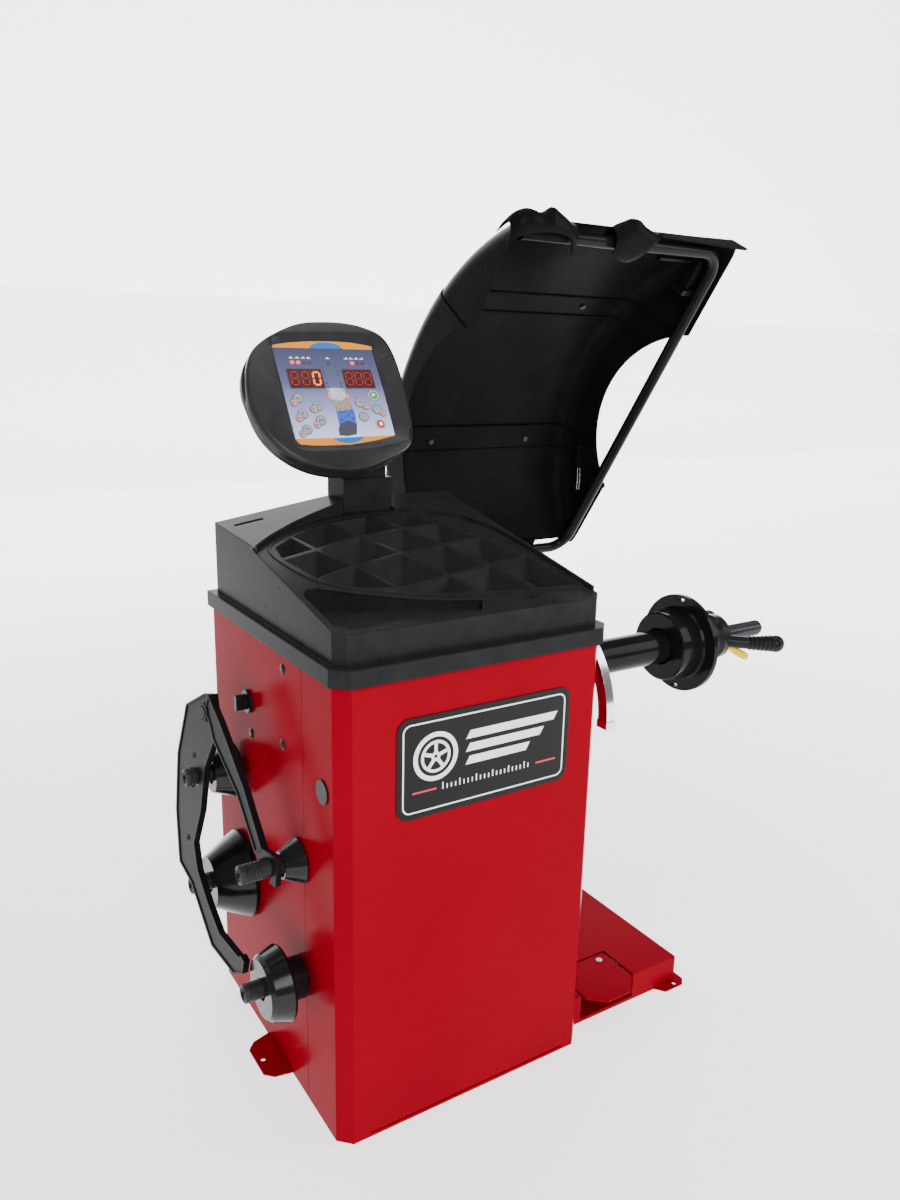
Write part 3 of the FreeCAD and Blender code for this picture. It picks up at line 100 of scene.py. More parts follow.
def make_floor():
    """A floor that curves up into a backdrop. It glows, more with distance and less on the left."""
    half_width = 14
    profile = [(-8, 0.0), (5.0, 0.0), (6.5, 0.15), (7.6, 0.7), (8.2, 1.8), (8.4, 9.0)]
    verts = [(x, y, z) for y, z in profile for x in (-half_width, half_width)]
    faces = [(2 * i, 2 * i + 1, 2 * i + 3, 2 * i + 2) for i in range(len(profile) - 1)]
    mesh = bpy.data.meshes.new("floor")
    mesh.from_pydata(verts, [], faces)
    floor = bpy.data.objects.new("floor", mesh)
    bpy.context.scene.collection.objects.link(floor)
    paint = surface("floor_paint", (0.9, 0.9, 0.9), 0.75, grain=(6, 0.01), bump=(40, 0.005), shine=0.2)
    tree = paint.node_tree
    place = tree.nodes.new("ShaderNodeTexCoord")
    far = tree.nodes.new("ShaderNodeVectorMath")
    far.operation = "LENGTH"
    link(tree, place, "Object", far, 0)
    by_distance = eased(tree, (0.6, 1.5), (4.5, 3.2))
    link(tree, far, "Value", by_distance, "Value")
    parts = tree.nodes.new("ShaderNodeSeparateXYZ")
    link(tree, place, "Object", parts, "Vector")
    by_side = eased(tree, (-3.2, 0.22), (-0.2, 1.0))
    link(tree, parts, "X", by_side, "Value")
    product = tree.nodes.new("ShaderNodeMath")
    product.operation = "MULTIPLY"
    link(tree, by_distance, "Result", product, 0)
    link(tree, by_side, "Result", product, 1)
    shader = tree.nodes["Principled BSDF"]
    link(tree, product, "Value", shader, "Emission Strength")
    shader.inputs["Emission Color"].default_value = (1, 1, 1, 1)
    mesh.materials.append(paint)


# ---------------------------------------------------------------- materials
def link(tree, source, output, target, socket):
    tree.links.new(source.outputs[output], target.inputs[socket])


def surface(name, colour, rough, metal=0.0, grain=(60, 0.06), bump=(600, 0.05), coat=0.0, spread=0.05,
            edge=0.0, detail=6.0, shine=0.5, stretch=(1, 1, 1)):
    """A procedural finish: broad changes of colour and gloss, and fine relief.

    grain is (scale, share of the colour), bump is (scale, strength), spread is the change of roughness either
    way, and edge is the radius that corners are shaded with, in metres.
    """
    material = bpy.data.materials.new(name)
    material.use_nodes = True
    tree = material.node_tree
    shader = tree.nodes["Principled BSDF"]
    place = tree.nodes.new("ShaderNodeTexCoord")
    turn = tree.nodes.new("ShaderNodeMapping")
    turn.inputs["Scale"].default_value = stretch
    link(tree, place, "Object", turn, "Vector")
    broad = tree.nodes.new("ShaderNodeTexNoise")
    broad.inputs["Scale"].default_value = grain[0]
    broad.inputs["Detail"].default_value = detail
    link(tree, turn, "Vector", broad, "Vector")
    ramp = tree.nodes.new("ShaderNodeValToRGB")
    low, high = 1 - grain[1], 1 + grain[1]
    ramp.color_ramp.elements[0].position = 0.3
    ramp.color_ramp.elements[1].position = 0.7
    ramp.color_ramp.elements[0].color = (*[c * low for c in colour], 1)
    ramp.color_ramp.elements[1].color = (*[min(1, c * high) for c in colour], 1)
    link(tree, broad, "Fac", ramp, "Fac")
    link(tree, ramp, "Color", shader, "Base Color")
    shader.inputs["Metallic"].default_value = metal
    shader.inputs["Specular IOR Level"].default_value = shine
    gloss = tree.nodes.new("ShaderNodeMapRange")
    gloss.inputs["To Min"].default_value = max(0.03, rough - spread)
    gloss.inputs["To Max"].default_value = rough + spread
    link(tree, broad, "Fac", gloss, "Value")
    link(tree, gloss, "Result", shader, "Roughness")
    fine = tree.nodes.new("ShaderNodeTexNoise")
    fine.inputs["Scale"].default_value = bump[0]
    fine.inputs["Detail"].default_value = 3.0
    link(tree, turn, "Vector", fine, "Vector")
    relief = tree.nodes.new("ShaderNodeBump")
    relief.inputs["Strength"].default_value = bump[1]
    relief.inputs["Distance"].default_value = 0.001
    link(tree, fine, "Fac", relief, "Height")
    if edge:
        corner = tree.nodes.new("ShaderNodeBevel")
        corner.samples = 4
        corner.inputs["Radius"].default_value = edge
        link(tree, corner, "Normal", relief, "Normal")
    link(tree, relief, "Normal", shader, "Normal")
    if coat:
        shader.inputs["Coat Weight"].default_value = coat
        shader.inputs["Coat Roughness"].default_value = 0.08
    return material


def light_up(material, colour, strength):
    shader = material.node_tree.nodes["Principled BSDF"]
    shader.inputs["Emission Color"].default_value = (*colour, 1)
    shader.inputs["Emission Strength"].default_value = strength


RED = surface("red_powder_coat", (0.235, 0.0, 0.0085), 0.2, grain=(3, 0.06), bump=(260, 0.03), edge=0.0012,
              shine=0.01)
TRAY = surface("black_abs", (0.017, 0.017, 0.0185), 0.28, grain=(30, 0.16), bump=(1400, 0.05), spread=0.02,
               edge=0.003, shine=0.022)
HEAD = surface("black_abs_head", (0.022, 0.022, 0.024), 0.26, grain=(30, 0.16), bump=(1500, 0.1),
               edge=0.002, shine=0.14)
HOOD = surface("black_guard_plastic", (0.0055, 0.0055, 0.0062), 0.27, grain=(12, 0.16), bump=(1200, 0.05),
               spread=0.02, edge=0.001, shine=0.018)
GLOSS = surface("black_gloss_paint", (0.007, 0.007, 0.008), 0.13, grain=(20, 0.16), bump=(500, 0.02),
                coat=0.02, edge=0.0008, shine=0.06)
PLASTIC = surface("black_plastic", (0.006, 0.006, 0.007), 0.32, grain=(40, 0.16), bump=(1200, 0.12),
                  edge=0.0012, shine=0.14)
CONE = surface("black_cone_finish", (0.007, 0.007, 0.008), 0.17, grain=(50, 0.16), bump=(700, 0.04),
               coat=0.04, edge=0.001, shine=0.2)
RUBBER = surface("rubber", (0.008, 0.008, 0.0088), 0.5, grain=(90, 0.16), bump=(900, 0.25), shine=0.3)
STEEL = surface("turned_steel", (0.42, 0.42, 0.44), 0.26, metal=1.0, grain=(80, 0.1), bump=(900, 0.06),
                stretch=(1, 12, 12))
DARK_STEEL = surface("blacked_steel", (0.045, 0.045, 0.05), 0.3, metal=1.0, grain=(120, 0.2),
                     bump=(900, 0.06), stretch=(1, 12, 12))
CHROME = surface("polished_chrome", (0.72, 0.74, 0.78), 0.12, metal=1.0, grain=(14, 0.05), bump=(120, 0.03),
                 spread=0.03, edge=0.001)
CAST = surface("cast_iron", (0.07, 0.07, 0.075), 0.55, metal=0.6, grain=(70, 0.2), bump=(500, 0.5))
GREY = surface("grey_primer", (0.14, 0.145, 0.155), 0.5, grain=(40, 0.1), bump=(500, 0.2))
BOARD = surface("circuit_board", (0.01, 0.09, 0.03), 0.4, grain=(400, 0.3), bump=(300, 0.2))
YELLOW = surface("yellow_plastic", (0.9, 0.62, 0.0), 0.34, grain=(60, 0.05), bump=(900, 0.06), edge=0.002,
                 shine=0.08)
WHITE = surface("white_print", (0.88, 0.88, 0.89), 0.35, grain=(90, 0.03), bump=(700, 0.04))
RED_PRINT = surface("red_print", (0.55, 0.004, 0.012), 0.35, grain=(90, 0.05), bump=(700, 0.04))
LABEL = surface("black_label", (0.0016, 0.0016, 0.002), 0.24, grain=(60, 0.14), bump=(900, 0.03),
                edge=0.0005, shine=0.15)
GREEN_KEY = surface("green_key_print", (0.03, 0.3, 0.045), 0.28, grain=(300, 0.12), bump=(500, 0.05),
                    edge=0.0006)
RED_KEY = surface("red_key_print", (0.5, 0.015, 0.012), 0.28, grain=(300, 0.12), bump=(500, 0.05),
                  edge=0.0006)
LENS = surface("red_lens", (0.05, 0.0008, 0.0008), 0.2, grain=(200, 0.2), bump=(600, 0.02), shine=0.25)
GLOW = surface("lit_segment", (0.9, 0.2, 0.01), 0.3, grain=(400, 0.1))
light_up(GLOW, (1.0, 0.13, 0.0), 1.1)
LIT = surface("lit_lamp", (0.9, 0.06, 0.04), 0.3, grain=(400, 0.1))
light_up(LIT, (1.0, 0.06, 0.04), 1.2)
SEGMENT = surface("unlit_segment", (0.3, 0.004, 0.003), 0.3, grain=(400, 0.15))
ORANGE = surface("orange_film", (0.8, 0.27, 0.01), 0.3, grain=(90, 0.04), bump=(500, 0.03), shine=0.12)
BLUE = surface("blue_film", (0.008, 0.15, 0.55), 0.3, grain=(90, 0.04), bump=(500, 0.03), shine=0.12)
DARK_LAMP = surface("dark_lamp", (0.07, 0.02, 0.03), 0.3, grain=(300, 0.15))
TREAD = surface("tread_print", (0.3, 0.24, 0.17), 0.4, grain=(330, 0.5), detail=2.0)
BLUE_PRINT = surface("blue_tread_print", (0.03, 0.08, 0.5), 0.4, grain=(260, 0.6), detail=2.0)
SILVER = surface("silver_print", (0.5, 0.52, 0.56), 0.3, grain=(120, 0.2))
KEY_DISC = surface("grey_key_print", (0.3, 0.31, 0.35), 0.3, grain=(200, 0.2), bump=(500, 0.04),
                   edge=0.0006, shine=0.3)
PINK = surface("pink_key_print", (0.5, 0.33, 0.33), 0.3, grain=(200, 0.2), bump=(500, 0.04), edge=0.0006,
               shine=0.3)
INK = surface("dark_print", (0.04, 0.045, 0.07), 0.35, grain=(200, 0.15))


def film():
    """The key panel's film: slate blue at the top, through lavender to nearly white."""
    head_up = (0, 0.5446, 0.8387)
    middle, half = 1.1173, 0.1
    material = surface("panel_film", (0.5, 0.5, 0.6), 0.26, grain=(40, 0.03), bump=(500, 0.02), coat=0.0,
                       edge=0.0005, shine=0.12)
    tree = material.node_tree
    old = next(node for node in tree.nodes if node.type == "VALTORGB")
    place = tree.nodes.new("ShaderNodeTexCoord")
    along = tree.nodes.new("ShaderNodeVectorMath")
    along.operation = "DOT_PRODUCT"
    along.inputs[1].default_value = head_up
    link(tree, place, "Object", along, "Vector")
    span = tree.nodes.new("ShaderNodeMapRange")
    span.inputs["From Min"].default_value = middle - half
    span.inputs["From Max"].default_value = middle + half
    link(tree, along, "Value", span, "Value")
    ramp = tree.nodes.new("ShaderNodeValToRGB")
    bottom, low, high, top = (0.68, 0.74, 0.95), (0.32, 0.34, 0.58), (0.08, 0.08, 0.19), (0.016, 0.028, 0.08)
    stops = ramp.color_ramp.elements
    stops[0].position, stops[0].color = 0.0, (*bottom, 1)
    stops[1].position, stops[1].color = 1.0, (*top, 1)
    stops.new(0.3).color = (*low, 1)
    stops.new(0.6).color = (*high, 1)
    link(tree, span, "Result", ramp, "Fac")
    mix = tree.nodes.new("ShaderNodeMix")
    mix.data_type = "RGBA"
    mix.blend_type = "MIX"
    mix.inputs["Factor"].default_value = 0.06
    tree.links.new(ramp.outputs["Color"], mix.inputs[6])
    tree.links.new(old.outputs["Color"], mix.inputs[7])
    tree.links.new(mix.outputs[2], tree.nodes["Principled BSDF"].inputs["Base Color"])
    return material


FINISH = {
    RED: ["front_cover", "left_side_panel", "right_side_panel", "rear_panel", "left_anchor_tab",
          "right_anchor_tab", "platform", "brake_pedal", "base_pan"],
    TRAY: ["weight_tray", "display_post"],
    HEAD: ["display_bezel", "display_rear_shell"],
    HOOD: ["hood_lower_panel", "hood_middle_panel", "hood_upper_panel"],
    GLOSS: ["hood_frame", "spindle_housing", "wheel_flange", "hood_hinge_bracket", "storage_pegs"],
    CONE: ["small_cone", "medium_cone", "large_cone", "truck_cone"],
    PLASTIC: ["cover_screws_and_plug", "power_switch_body", "power_switch_knob", "mains_inlet", "quick_nut",
              "pressure_cup", "caliper_body", "caliper_arm", "gauge_guide"],
    LABEL: ["label_plate"],
    film(): ["key_panel"],
    KEY_DISC: ["function_keys"],
    LENS: ["readouts"],
    GREEN_KEY: ["start_key"],
    RED_KEY: ["stop_key"],
    BOARD: ["power_board", "display_board"],
    STEEL: ["spindle_shaft", "gauge_rod", "pedal_shaft", "brake_rod", "spindle_bearings", "encoder_disc"],
    CHROME: ["gauge_arm"],
    CAST: ["spindle_pulley", "motor_pulley", "spindle_cradle"],
    YELLOW: ["release_lever"],
    GREY: ["pedestal", "pedal_bearings", "force_sensors", "motor_housing", "encoder_sensor"],
    RUBBER: ["peg_sleeves", "drive_belt"],
}
for material, names in FINISH.items():
    for node in names:
        mesh = nodes[node].data
        mesh.materials.clear()
        mesh.materials.append(material)


# ---------------------------------------------------------------- shapes
def solid(name, verts, faces, material, body, smooth=False):
    """A piece from corners in millimetres."""
    mesh = bpy.data.meshes.new(name)
    mesh.from_pydata([tuple(c * 0.001 for c in v) for v in verts], [], faces)
    work = bmesh.new()
    work.from_mesh(mesh)
    bmesh.ops.recalc_face_normals(work, faces=work.faces)
    work.to_mesh(mesh)
    work.free()
    for face in mesh.polygons:
        face.use_smooth = smooth
    if smooth:
        mesh.set_sharp_from_angle(angle=0.7)
    mesh.materials.append(material)
    piece = bpy.data.objects.new(name, mesh)
    bpy.context.scene.collection.objects.link(piece)
    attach(piece, body)
    return piece


def slabs(name, shapes, place, low, high, material, body):
    """Thin printed or moulded shapes between two depths. A pair of outlines is the band between them."""
    verts, faces = [], []
    for shape in shapes:
        base = len(verts)
        if isinstance(shape, tuple):
            count = len(shape[0])
            for depth in (low, high):
                for loop in shape:
                    verts += [place(x, y, depth) for x, y in loop]
            step = 2 * count
            for i in range(count):
                j = (i + 1) % count
                a, b, c, d = base + i, base + j, base + count + j, base + count + i
                faces += [(a + step, b + step, c + step, d + step), (d, c, b, a),
                          (a, b, b + step, a + step), (c, d, d + step, c + step)]
        else:
            count = len(shape)
            for depth in (low, high):
                verts += [place(x, y, depth) for x, y in shape]
            faces += [tuple(range(base + count, base + 2 * count)),
                      tuple(reversed(range(base, base + count)))]
            faces += ring_faces(2, count, base)
    return solid(name, verts, faces, material, body)


def disc(x, y, radius, count=32):
    """A round outline."""
    return [(x + radius * math.cos(2 * math.pi * i / count), y + radius * math.sin(2 * math.pi * i / count))
            for i in range(count)]


def rounded(x0, x1, y0, y1, radius):
    """A rectangle with round corners."""
    steps = 6
    corners = ((x1 - radius, y1 - radius, 0), (x0 + radius, y1 - radius, 90),
               (x0 + radius, y0 + radius, 180), (x1 - radius, y0 + radius, 270))
    points = []
    for cx, cy, start in corners:
        for i in range(steps + 1):
            angle = math.radians(start + 90 * i / steps)
            points.append((cx + radius * math.cos(angle), cy + radius * math.sin(angle)))
    return points


def bar(x0, y0, x1, y1, width):
    """A straight stroke from one point to another."""
    length = math.hypot(x1 - x0, y1 - y0)
    px, py = -(y1 - y0) / length * width / 2, (x1 - x0) / length * width / 2
    return [(x0 + px, y0 + py), (x0 - px, y0 - py), (x1 - px, y1 - py), (x1 + px, y1 + py)]


def ring_faces(rings, count, base=0, closed=False):
    """Faces from each ring of corners to the next one, and from the last to the first if closed."""
    faces = []
    for j in range(rings if closed else rings - 1):
        m = (j + 1) % rings
        for i in range(count):
            k = (i + 1) % count
            faces.append((base + j * count + i, base + j * count + k, base + m * count + k,
                          base + m * count + i))
    return faces


def pipe(name, points, radius, material, body, count=14):
    """A round rod through a few points, its ends closed."""
    verts = []
    side = None
    for i, point in enumerate(points):
        ahead = Vector(points[min(i + 1, len(points) - 1)]) - Vector(points[max(i - 1, 0)])
        ahead.normalize()
        side = ahead.orthogonal() if side is None else side - ahead * side.dot(ahead)
        side.normalize()
        other = ahead.cross(side)
        wide = radius[i] if isinstance(radius, list) else radius
        for k in range(count):
            turn = 2 * math.pi * k / count
            verts.append(tuple(Vector(point) + (side * math.cos(turn) + other * math.sin(turn)) * wide))
    faces = ring_faces(len(points), count)
    faces += [tuple(range(count)), tuple(range((len(points) - 1) * count, len(points) * count))]
    return solid(name, verts, faces, material, body, smooth=True)


# ---------------------------------------------------------------- front plate
def on_label(x, z, out):
    """A point on the label plate's face."""
    return (11 + x, -273.5 - out, 652 + z)


def make_label_print():
    """The frame line, a generic wheel with three slanted bars, two red dashes and a scale."""
    under, over = -0.1, 0.25
    outline = (rounded(-158, 158, -75, 75, 14), rounded(-155.4, 155.4, -72.4, 72.4, 11.6))
    slabs("label_outline", [outline], on_label, under, over, WHITE, "cabinet")
    x, y = -98, 14
    shapes = [(disc(x, y, outer, 48), disc(x, y, inner, 48)) for outer, inner in ((41, 33), (27, 22), (8, 3))]
    for k in range(5):
        turn = math.radians(90 + 72 * k)
        shapes.append(bar(x + 7.5 * math.cos(turn), y + 7.5 * math.sin(turn),
                          x + 22.5 * math.cos(turn), y + 22.5 * math.sin(turn), 6))
    for k, end in enumerate((138, 110, 82)):
        start, height = -38, 38 - 22 * k
        shapes.append([(start - 4, height - 7), (end - 4, height - 7), (end + 4, height + 7),
                       (start + 4, height + 7)])
    slabs("label_pictogram", shapes, on_label, under, over, WHITE, "cabinet")
    dashes = [bar(-140, -41, -96, -41, 3.2), bar(100, -41, 142, -41, 3.2)]
    slabs("label_red_line", dashes, on_label, under, over, RED_PRINT, "cabinet")
    ticks = [bar(x, -45, x, -37 if k % 4 else -33, 2.2) for k, x in enumerate(range(-84, 88, 8))]
    slabs("label_scale", ticks, on_label, under, over, WHITE, "cabinet")


# ---------------------------------------------------------------- display
def on_head(x, y, out):
    """A point on the display's sloping face."""
    tilt = math.radians(33)
    return (-27 + x, 202 + y * math.sin(tilt) - out * math.cos(tilt),
            1201 + y * math.cos(tilt) + out * math.sin(tilt))


# the seven segments of a digit, each from one end to the other, about its middle
SEGMENTS = [((-0.4, 0.92), (0.4, 0.92)), ((0.5, 0.82), (0.5, 0.1)), ((0.5, -0.1), (0.5, -0.82)),
            ((-0.4, -0.92), (0.4, -0.92)), ((-0.5, -0.1), (-0.5, -0.82)), ((-0.5, 0.82), (-0.5, 0.1)),
            ((-0.36, 0), (0.36, 0))]


def digit(x, y, chosen, fat):
    """The chosen segments of one digit, as strokes."""
    width, half_height, lean = 13, 14.5, 0.8
    shapes = []
    for k in chosen:
        (ax, ay), (bx, by) = SEGMENTS[k]
        shapes.append(bar(x + ax * width + ay * lean, y + ay * half_height,
                          x + bx * width + by * lean, y + by * half_height, fat))
    return shapes


def make_display_print():
    """Everything printed or lit on the display's key panel."""
    make_films()
    make_readouts()
    make_pictures()
    make_keys()


def make_films():
    """The orange and blue films along the panel's top and foot."""
    top = [(-103, 95), (-101, 100), (-78, 105), (-54, 107.5), (-27, 110), (0, 111), (27, 111), (54, 110),
           (82, 107), (104, 102), (104, 95)]
    low = [(-104, -93), (-98, -103), (-78, -106.5), (-58, -108), (1, -108), (57, -101), (100, -91.5),
           (60, -92), (0, -93)]
    slabs("orange_film", [top, low], on_head, -2, 0.5, ORANGE, "cabinet")
    blue_top = [(-30, 95), (-25, 100), (-19, 104), (-8, 107.5), (6, 108.8), (18, 107.8), (29, 105),
                (36, 101), (40, 95)]
    blue_low = [(-32, -94.5), (-20, -101), (-5, -105), (10, -104.5), (24, -100), (35, -92.5)]
    slabs("blue_film", [blue_top, blue_low], on_head, -2, 0.8, BLUE, "cabinet")


def make_readouts():
    """Two readouts of three digits, one digit lit, with lamps above them and arrows between them."""
    middle = 30.5
    numbers = []
    for x in (-74, -52, 37, 56.5, 76):
        numbers += digit(x, middle, range(7), 2.2)
    slabs("unlit_digits", numbers, on_head, 0.2, 0.7, SEGMENT, "cabinet")
    slabs("lit_digit", digit(-30, middle, range(6), 3.6), on_head, 0.2, 0.75, GLOW, "cabinet")
    rims = [(rounded(left - 1.4, right + 1.4, 9.6, 51.4, 2), rounded(left, right, 11, 50, 1))
            for left, right in ((-86, -18), (26, 87))]
    rims += [bar(x, 12, x + 1.2, 49, 0.6) for x in (-63.5, -41.5, 46.5, 66)]
    slabs("readout_rims", rims, on_head, -0.2, 0.6, INK, "cabinet")
    lamps_dark = [rounded(x - 3, x + 3, 61.5, 67, 1) for x in (-47, -36, 2.7, 63, 74)]
    slabs("dark_lamps", lamps_dark, on_head, -0.2, 0.8, DARK_LAMP, "cabinet")
    lamps = [rounded(x - 4, x + 4, 60.8, 67.4, 2) for x in (-71, -59, 52)]
    slabs("lit_lamps", lamps, on_head, -0.2, 0.9, LIT, "cabinet")
    marks = []
    for k, x in enumerate((-71, -59, -47, -36, 2.7, 41, 52, 63, 74)):
        marks += [bar(x - 4, 73.5, x + 4, 73.5, 1.5), bar(x - 2 + k % 3, 75.5, x + 1 + k % 3, 75.5, 1.8)]
    slabs("lamp_marks", marks, on_head, -0.2, 0.4, WHITE, "cabinet")
    arrows = []
    for x in (-12, 16.5):
        arrows += [[(x - 2.6, y + 2), (x + 2.6, y + 2), (x, y - 2.6)] for y in (55.5, 46, 37.5)]
        arrows += [[(x - 2.6, y - 2), (x, y + 2.6), (x + 2.6, y - 2)] for y in (22, 14, 5.4)]
    slabs("arrows", arrows, on_head, -0.2, 0.5, INK, "cabinet")


def make_pictures():
    """The picture of a wheel between the keys: its rim, its tread and its foot."""
    funnel = [(-15.6, 8.8), (-14, 3), (-13, -12), (-3, -16), (9, -16), (19, -10), (20, 3), (19.5, 8.8),
              (2, 10.5)]
    slabs("rim_picture", [funnel], on_head, -0.2, 0.5, SILVER, "cabinet")
    tread = [(-13, -12), (-3, -16), (9, -16), (19.4, -10), (25, -20), (27, -34), (4, -38), (-8, -37)]
    slabs("tread_picture", [tread], on_head, -0.2, 0.5, TREAD, "cabinet")
    blue = [(-8, -37), (4, -38), (27, -34), (27.5, -50), (26, -66), (8, -64), (-10, -68), (-9, -52)]
    slabs("blue_tread_picture", [blue], on_head, -0.2, 0.5, BLUE_PRINT, "cabinet")
    foot = [(-10, -68), (-2, -62), (8, -59), (19, -61), (26, -66), (23, -78), (20, -87), (0, -90),
            (-15, -88), (-14, -76)]
    slabs("tyre_picture", [foot], on_head, -0.2, 0.6, INK, "cabinet")
    slabs("rim_dots", [disc(-14, -6, 4), disc(22, -7, 4)], on_head, -0.2, 0.7, LIT, "cabinet")


def make_keys():
    """Rings and signs of the round keys, the small lamp discs, and the two main keys."""
    big = [(-78, -11), (-43, -27), (-77, -43), (-44, -57), (-76, -75), (45, -21), (77, -36), (45, -51)]
    small = [(-88, -20), (-53, -34), (-86, -52), (-54, -66), (-87, -84), (56, -29), (87, -44)]
    rings = [(disc(x, y, 10), disc(x, y, 8.4)) for x, y in big]
    slabs("key_rings", rings, on_head, -0.2, 1.0, INK, "cabinet")
    slabs("lamp_discs", [disc(x, y, 6.4) for x, y in small], on_head, -0.2, 1.5, PINK, "cabinet")
    edges = [(disc(x, y, 7), disc(x, y, 6.2)) for x, y in small]
    slabs("lamp_disc_rings", edges, on_head, -0.2, 1.6, INK, "cabinet")
    dots = [disc(x - 1, y, 1.9) for x, y in small]
    slabs("key_lamps", dots, on_head, 1.2, 1.9, RED_PRINT, "cabinet")
    signs = []
    for k, (x, y) in enumerate(big[:6]):
        if k % 3:
            signs += [bar(x - 3.4, y + 2.4, x + 3.4, y + 2.4, 1), bar(x, y + 2.4, x, y - 3.4, 1)]
        else:
            signs += [bar(x - 3, y - 3, x - 3, y + 3, 1), bar(x + 2, y - 3, x + 2, y + 3, 1),
                      bar(x - 3, y, x + 4, y, 1)]
    slabs("key_signs", signs, on_head, 1.1, 1.4, INK, "cabinet")
    main = [[(74.5, -9), (82.5, -5), (74.5, -1)], rounded(72.6, 79.4, -70.4, -63.6, 0.8)]
    slabs("main_key_signs", main, on_head, 1.6, 2.1, WHITE, "cabinet")
    main_rings = [(disc(x, y, 10.2), disc(x, y, 8.4)) for x, y in ((78, -5), (76, -67))]
    slabs("main_key_rings", main_rings, on_head, -0.2, 1.2, SILVER, "cabinet")


# outlines on the display's face: the bezel's outside, its recess and the key panel
EGG = [(-174, -12), (-146, 84), (-60, 140), (14, 153), (90, 146), (140, 112), (150, 10), (136, -95),
       (97, -130), (0, -161), (-100, -143), (-156, -88)]
RECESS = [(-106, 98), (-104, 112), (-94, 117), (-40, 119), (30, 121), (112, 123), (128, 119), (136, 106),
          (140, 88), (139, 20), (134, -60), (130, -90), (118, -103), (60, -113), (10, -117), (-50, -118),
          (-92, -116), (-106, -106), (-109, -92), (-108, 0)]
PANEL = [(-103, 95), (-101, 100), (-54, 107.5), (0, 111), (54, 110), (104, 102), (103, 0), (100, -91),
         (57, -100), (1, -108), (-58, -108), (-98, -104), (-104, -93), (-103, 0)]


def between(p0, p1, p2, p3, t):
    """A point of the smooth curve (Catmull-Rom) that goes from p1 to p2."""
    return 0.5 * ((2 * p1) + (p2 - p0) * t + (2 * p0 - 5 * p1 + 4 * p2 - p3) * t * t
                  + (3 * p1 - p0 - 3 * p2 + p3) * t ** 3)


def smooth_loop(points, steps=8):
    """A smooth closed curve through a few points."""
    out = []
    n = len(points)
    for i in range(n):
        four = [Vector(points[(i + k) % n]) for k in (-1, 0, 1, 2)]
        out += [between(*four, k / steps) for k in range(steps)]
    return out


def reach(loop, angle):
    """How far a loop lies from the middle in one direction."""
    way = Vector((math.cos(angle), math.sin(angle)))
    best = 0
    for a, b in zip(loop, loop[1:] + loop[:1]):
        side = Vector(b) - Vector(a)
        det = way.x * side.y - way.y * side.x
        if abs(det) > 1e-9:
            t = (a[0] * side.y - a[1] * side.x) / det
            u = (a[0] * way.y - a[1] * way.x) / det
            if t > 0 and -1e-6 <= u <= 1 + 1e-6:
                best = max(best, t)
    return best


def make_bezel():
    """The moulded bezel: an egg-shaped wall, a crowned face and a recess down to the key panel."""
    egg, recess = smooth_loop(EGG), smooth_loop(RECESS, 4)
    # each row is an outline, its scale and its height above the face
    rows = [(egg, 1.0, -13.9), (egg, 1.0, -2), (egg, 0.998, 1.5), (egg, 0.99, 4.2), (egg, 0.975, 6),
            (egg, 0.95, 7.4), (recess, 1.05, 9), (recess, 1.015, 8.8), (recess, 1.0, 7.6),
            (PANEL, 1.01, 0.7), (PANEL, 1.0, 0.2), (PANEL, 1.0, -3)]
    count, inside = 180, 0.962
    verts = []
    for loop, scale, out in rows:
        for i in range(count):
            angle = 2 * math.pi * i / count
            r = min(reach(loop, angle) * scale, reach(egg, angle) * (scale if loop is egg else inside))
            verts.append(on_head(r * math.cos(angle), r * math.sin(angle), out))
    faces = ring_faces(len(rows), count, closed=True)
    shell = solid("display_bezel_moulded", verts, faces, HEAD, "cabinet", smooth=True)
    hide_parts("display_bezel")


# ---------------------------------------------------------------- spindle and nut
SHAFT_Z = 661


def make_thread():
    """The threaded shaft: a journal, a shoulder and a rolled screw thread with a chamfered end."""
    count, pitch, step = 48, 8.0, 0.8
    crest, depth = 17.95, 2.1
    stations = [(-96, 2), (-96, 20.5), (-94.5, 22), (723.9, 22), (724, 18), (727, 17.9)]
    x, thread_end = 729.0, 974
    while x < thread_end:
        stations.append((x, None))
        x += step
    stations += [(975, 15.8), (977.9, 15.2), (978, 2)]
    verts = []
    for x, r in stations:
        for i in range(count):
            turn = 2 * math.pi * i / count
            if r is None:
                phase = ((x / pitch) - i / count) % 1.0
                # flat crests and roots, with straight flanks between them
                climb = min(max(abs(phase - 0.5) * 2 * 1.7 - 0.35, 0), 1)
                radius = crest - depth * climb
            else:
                radius = r
            verts.append((x, radius * math.cos(turn), SHAFT_Z + radius * math.sin(turn)))
    faces = ring_faces(len(stations), count)
    last = (len(stations) - 1) * count
    faces += [tuple(range(count)), tuple(range(last, last + count))]
    shaft = solid("threaded_shaft", verts, faces, DARK_STEEL, "spindle", smooth=True)
    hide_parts("spindle_shaft")


def add_collar(verts, faces, middle, way, profile):
    """Adds a ring turned about a direction, from (along, radius) corners."""
    count, base = 36, len(verts)
    u = way.orthogonal().normalized()
    w = way.cross(u)
    for along, r in profile:
        for i in range(count):
            turn = 2 * math.pi * i / count
            verts.append(tuple(middle + way * along + (u * math.cos(turn) + w * math.sin(turn)) * r))
    faces += ring_faces(len(profile), count, base, closed=True)


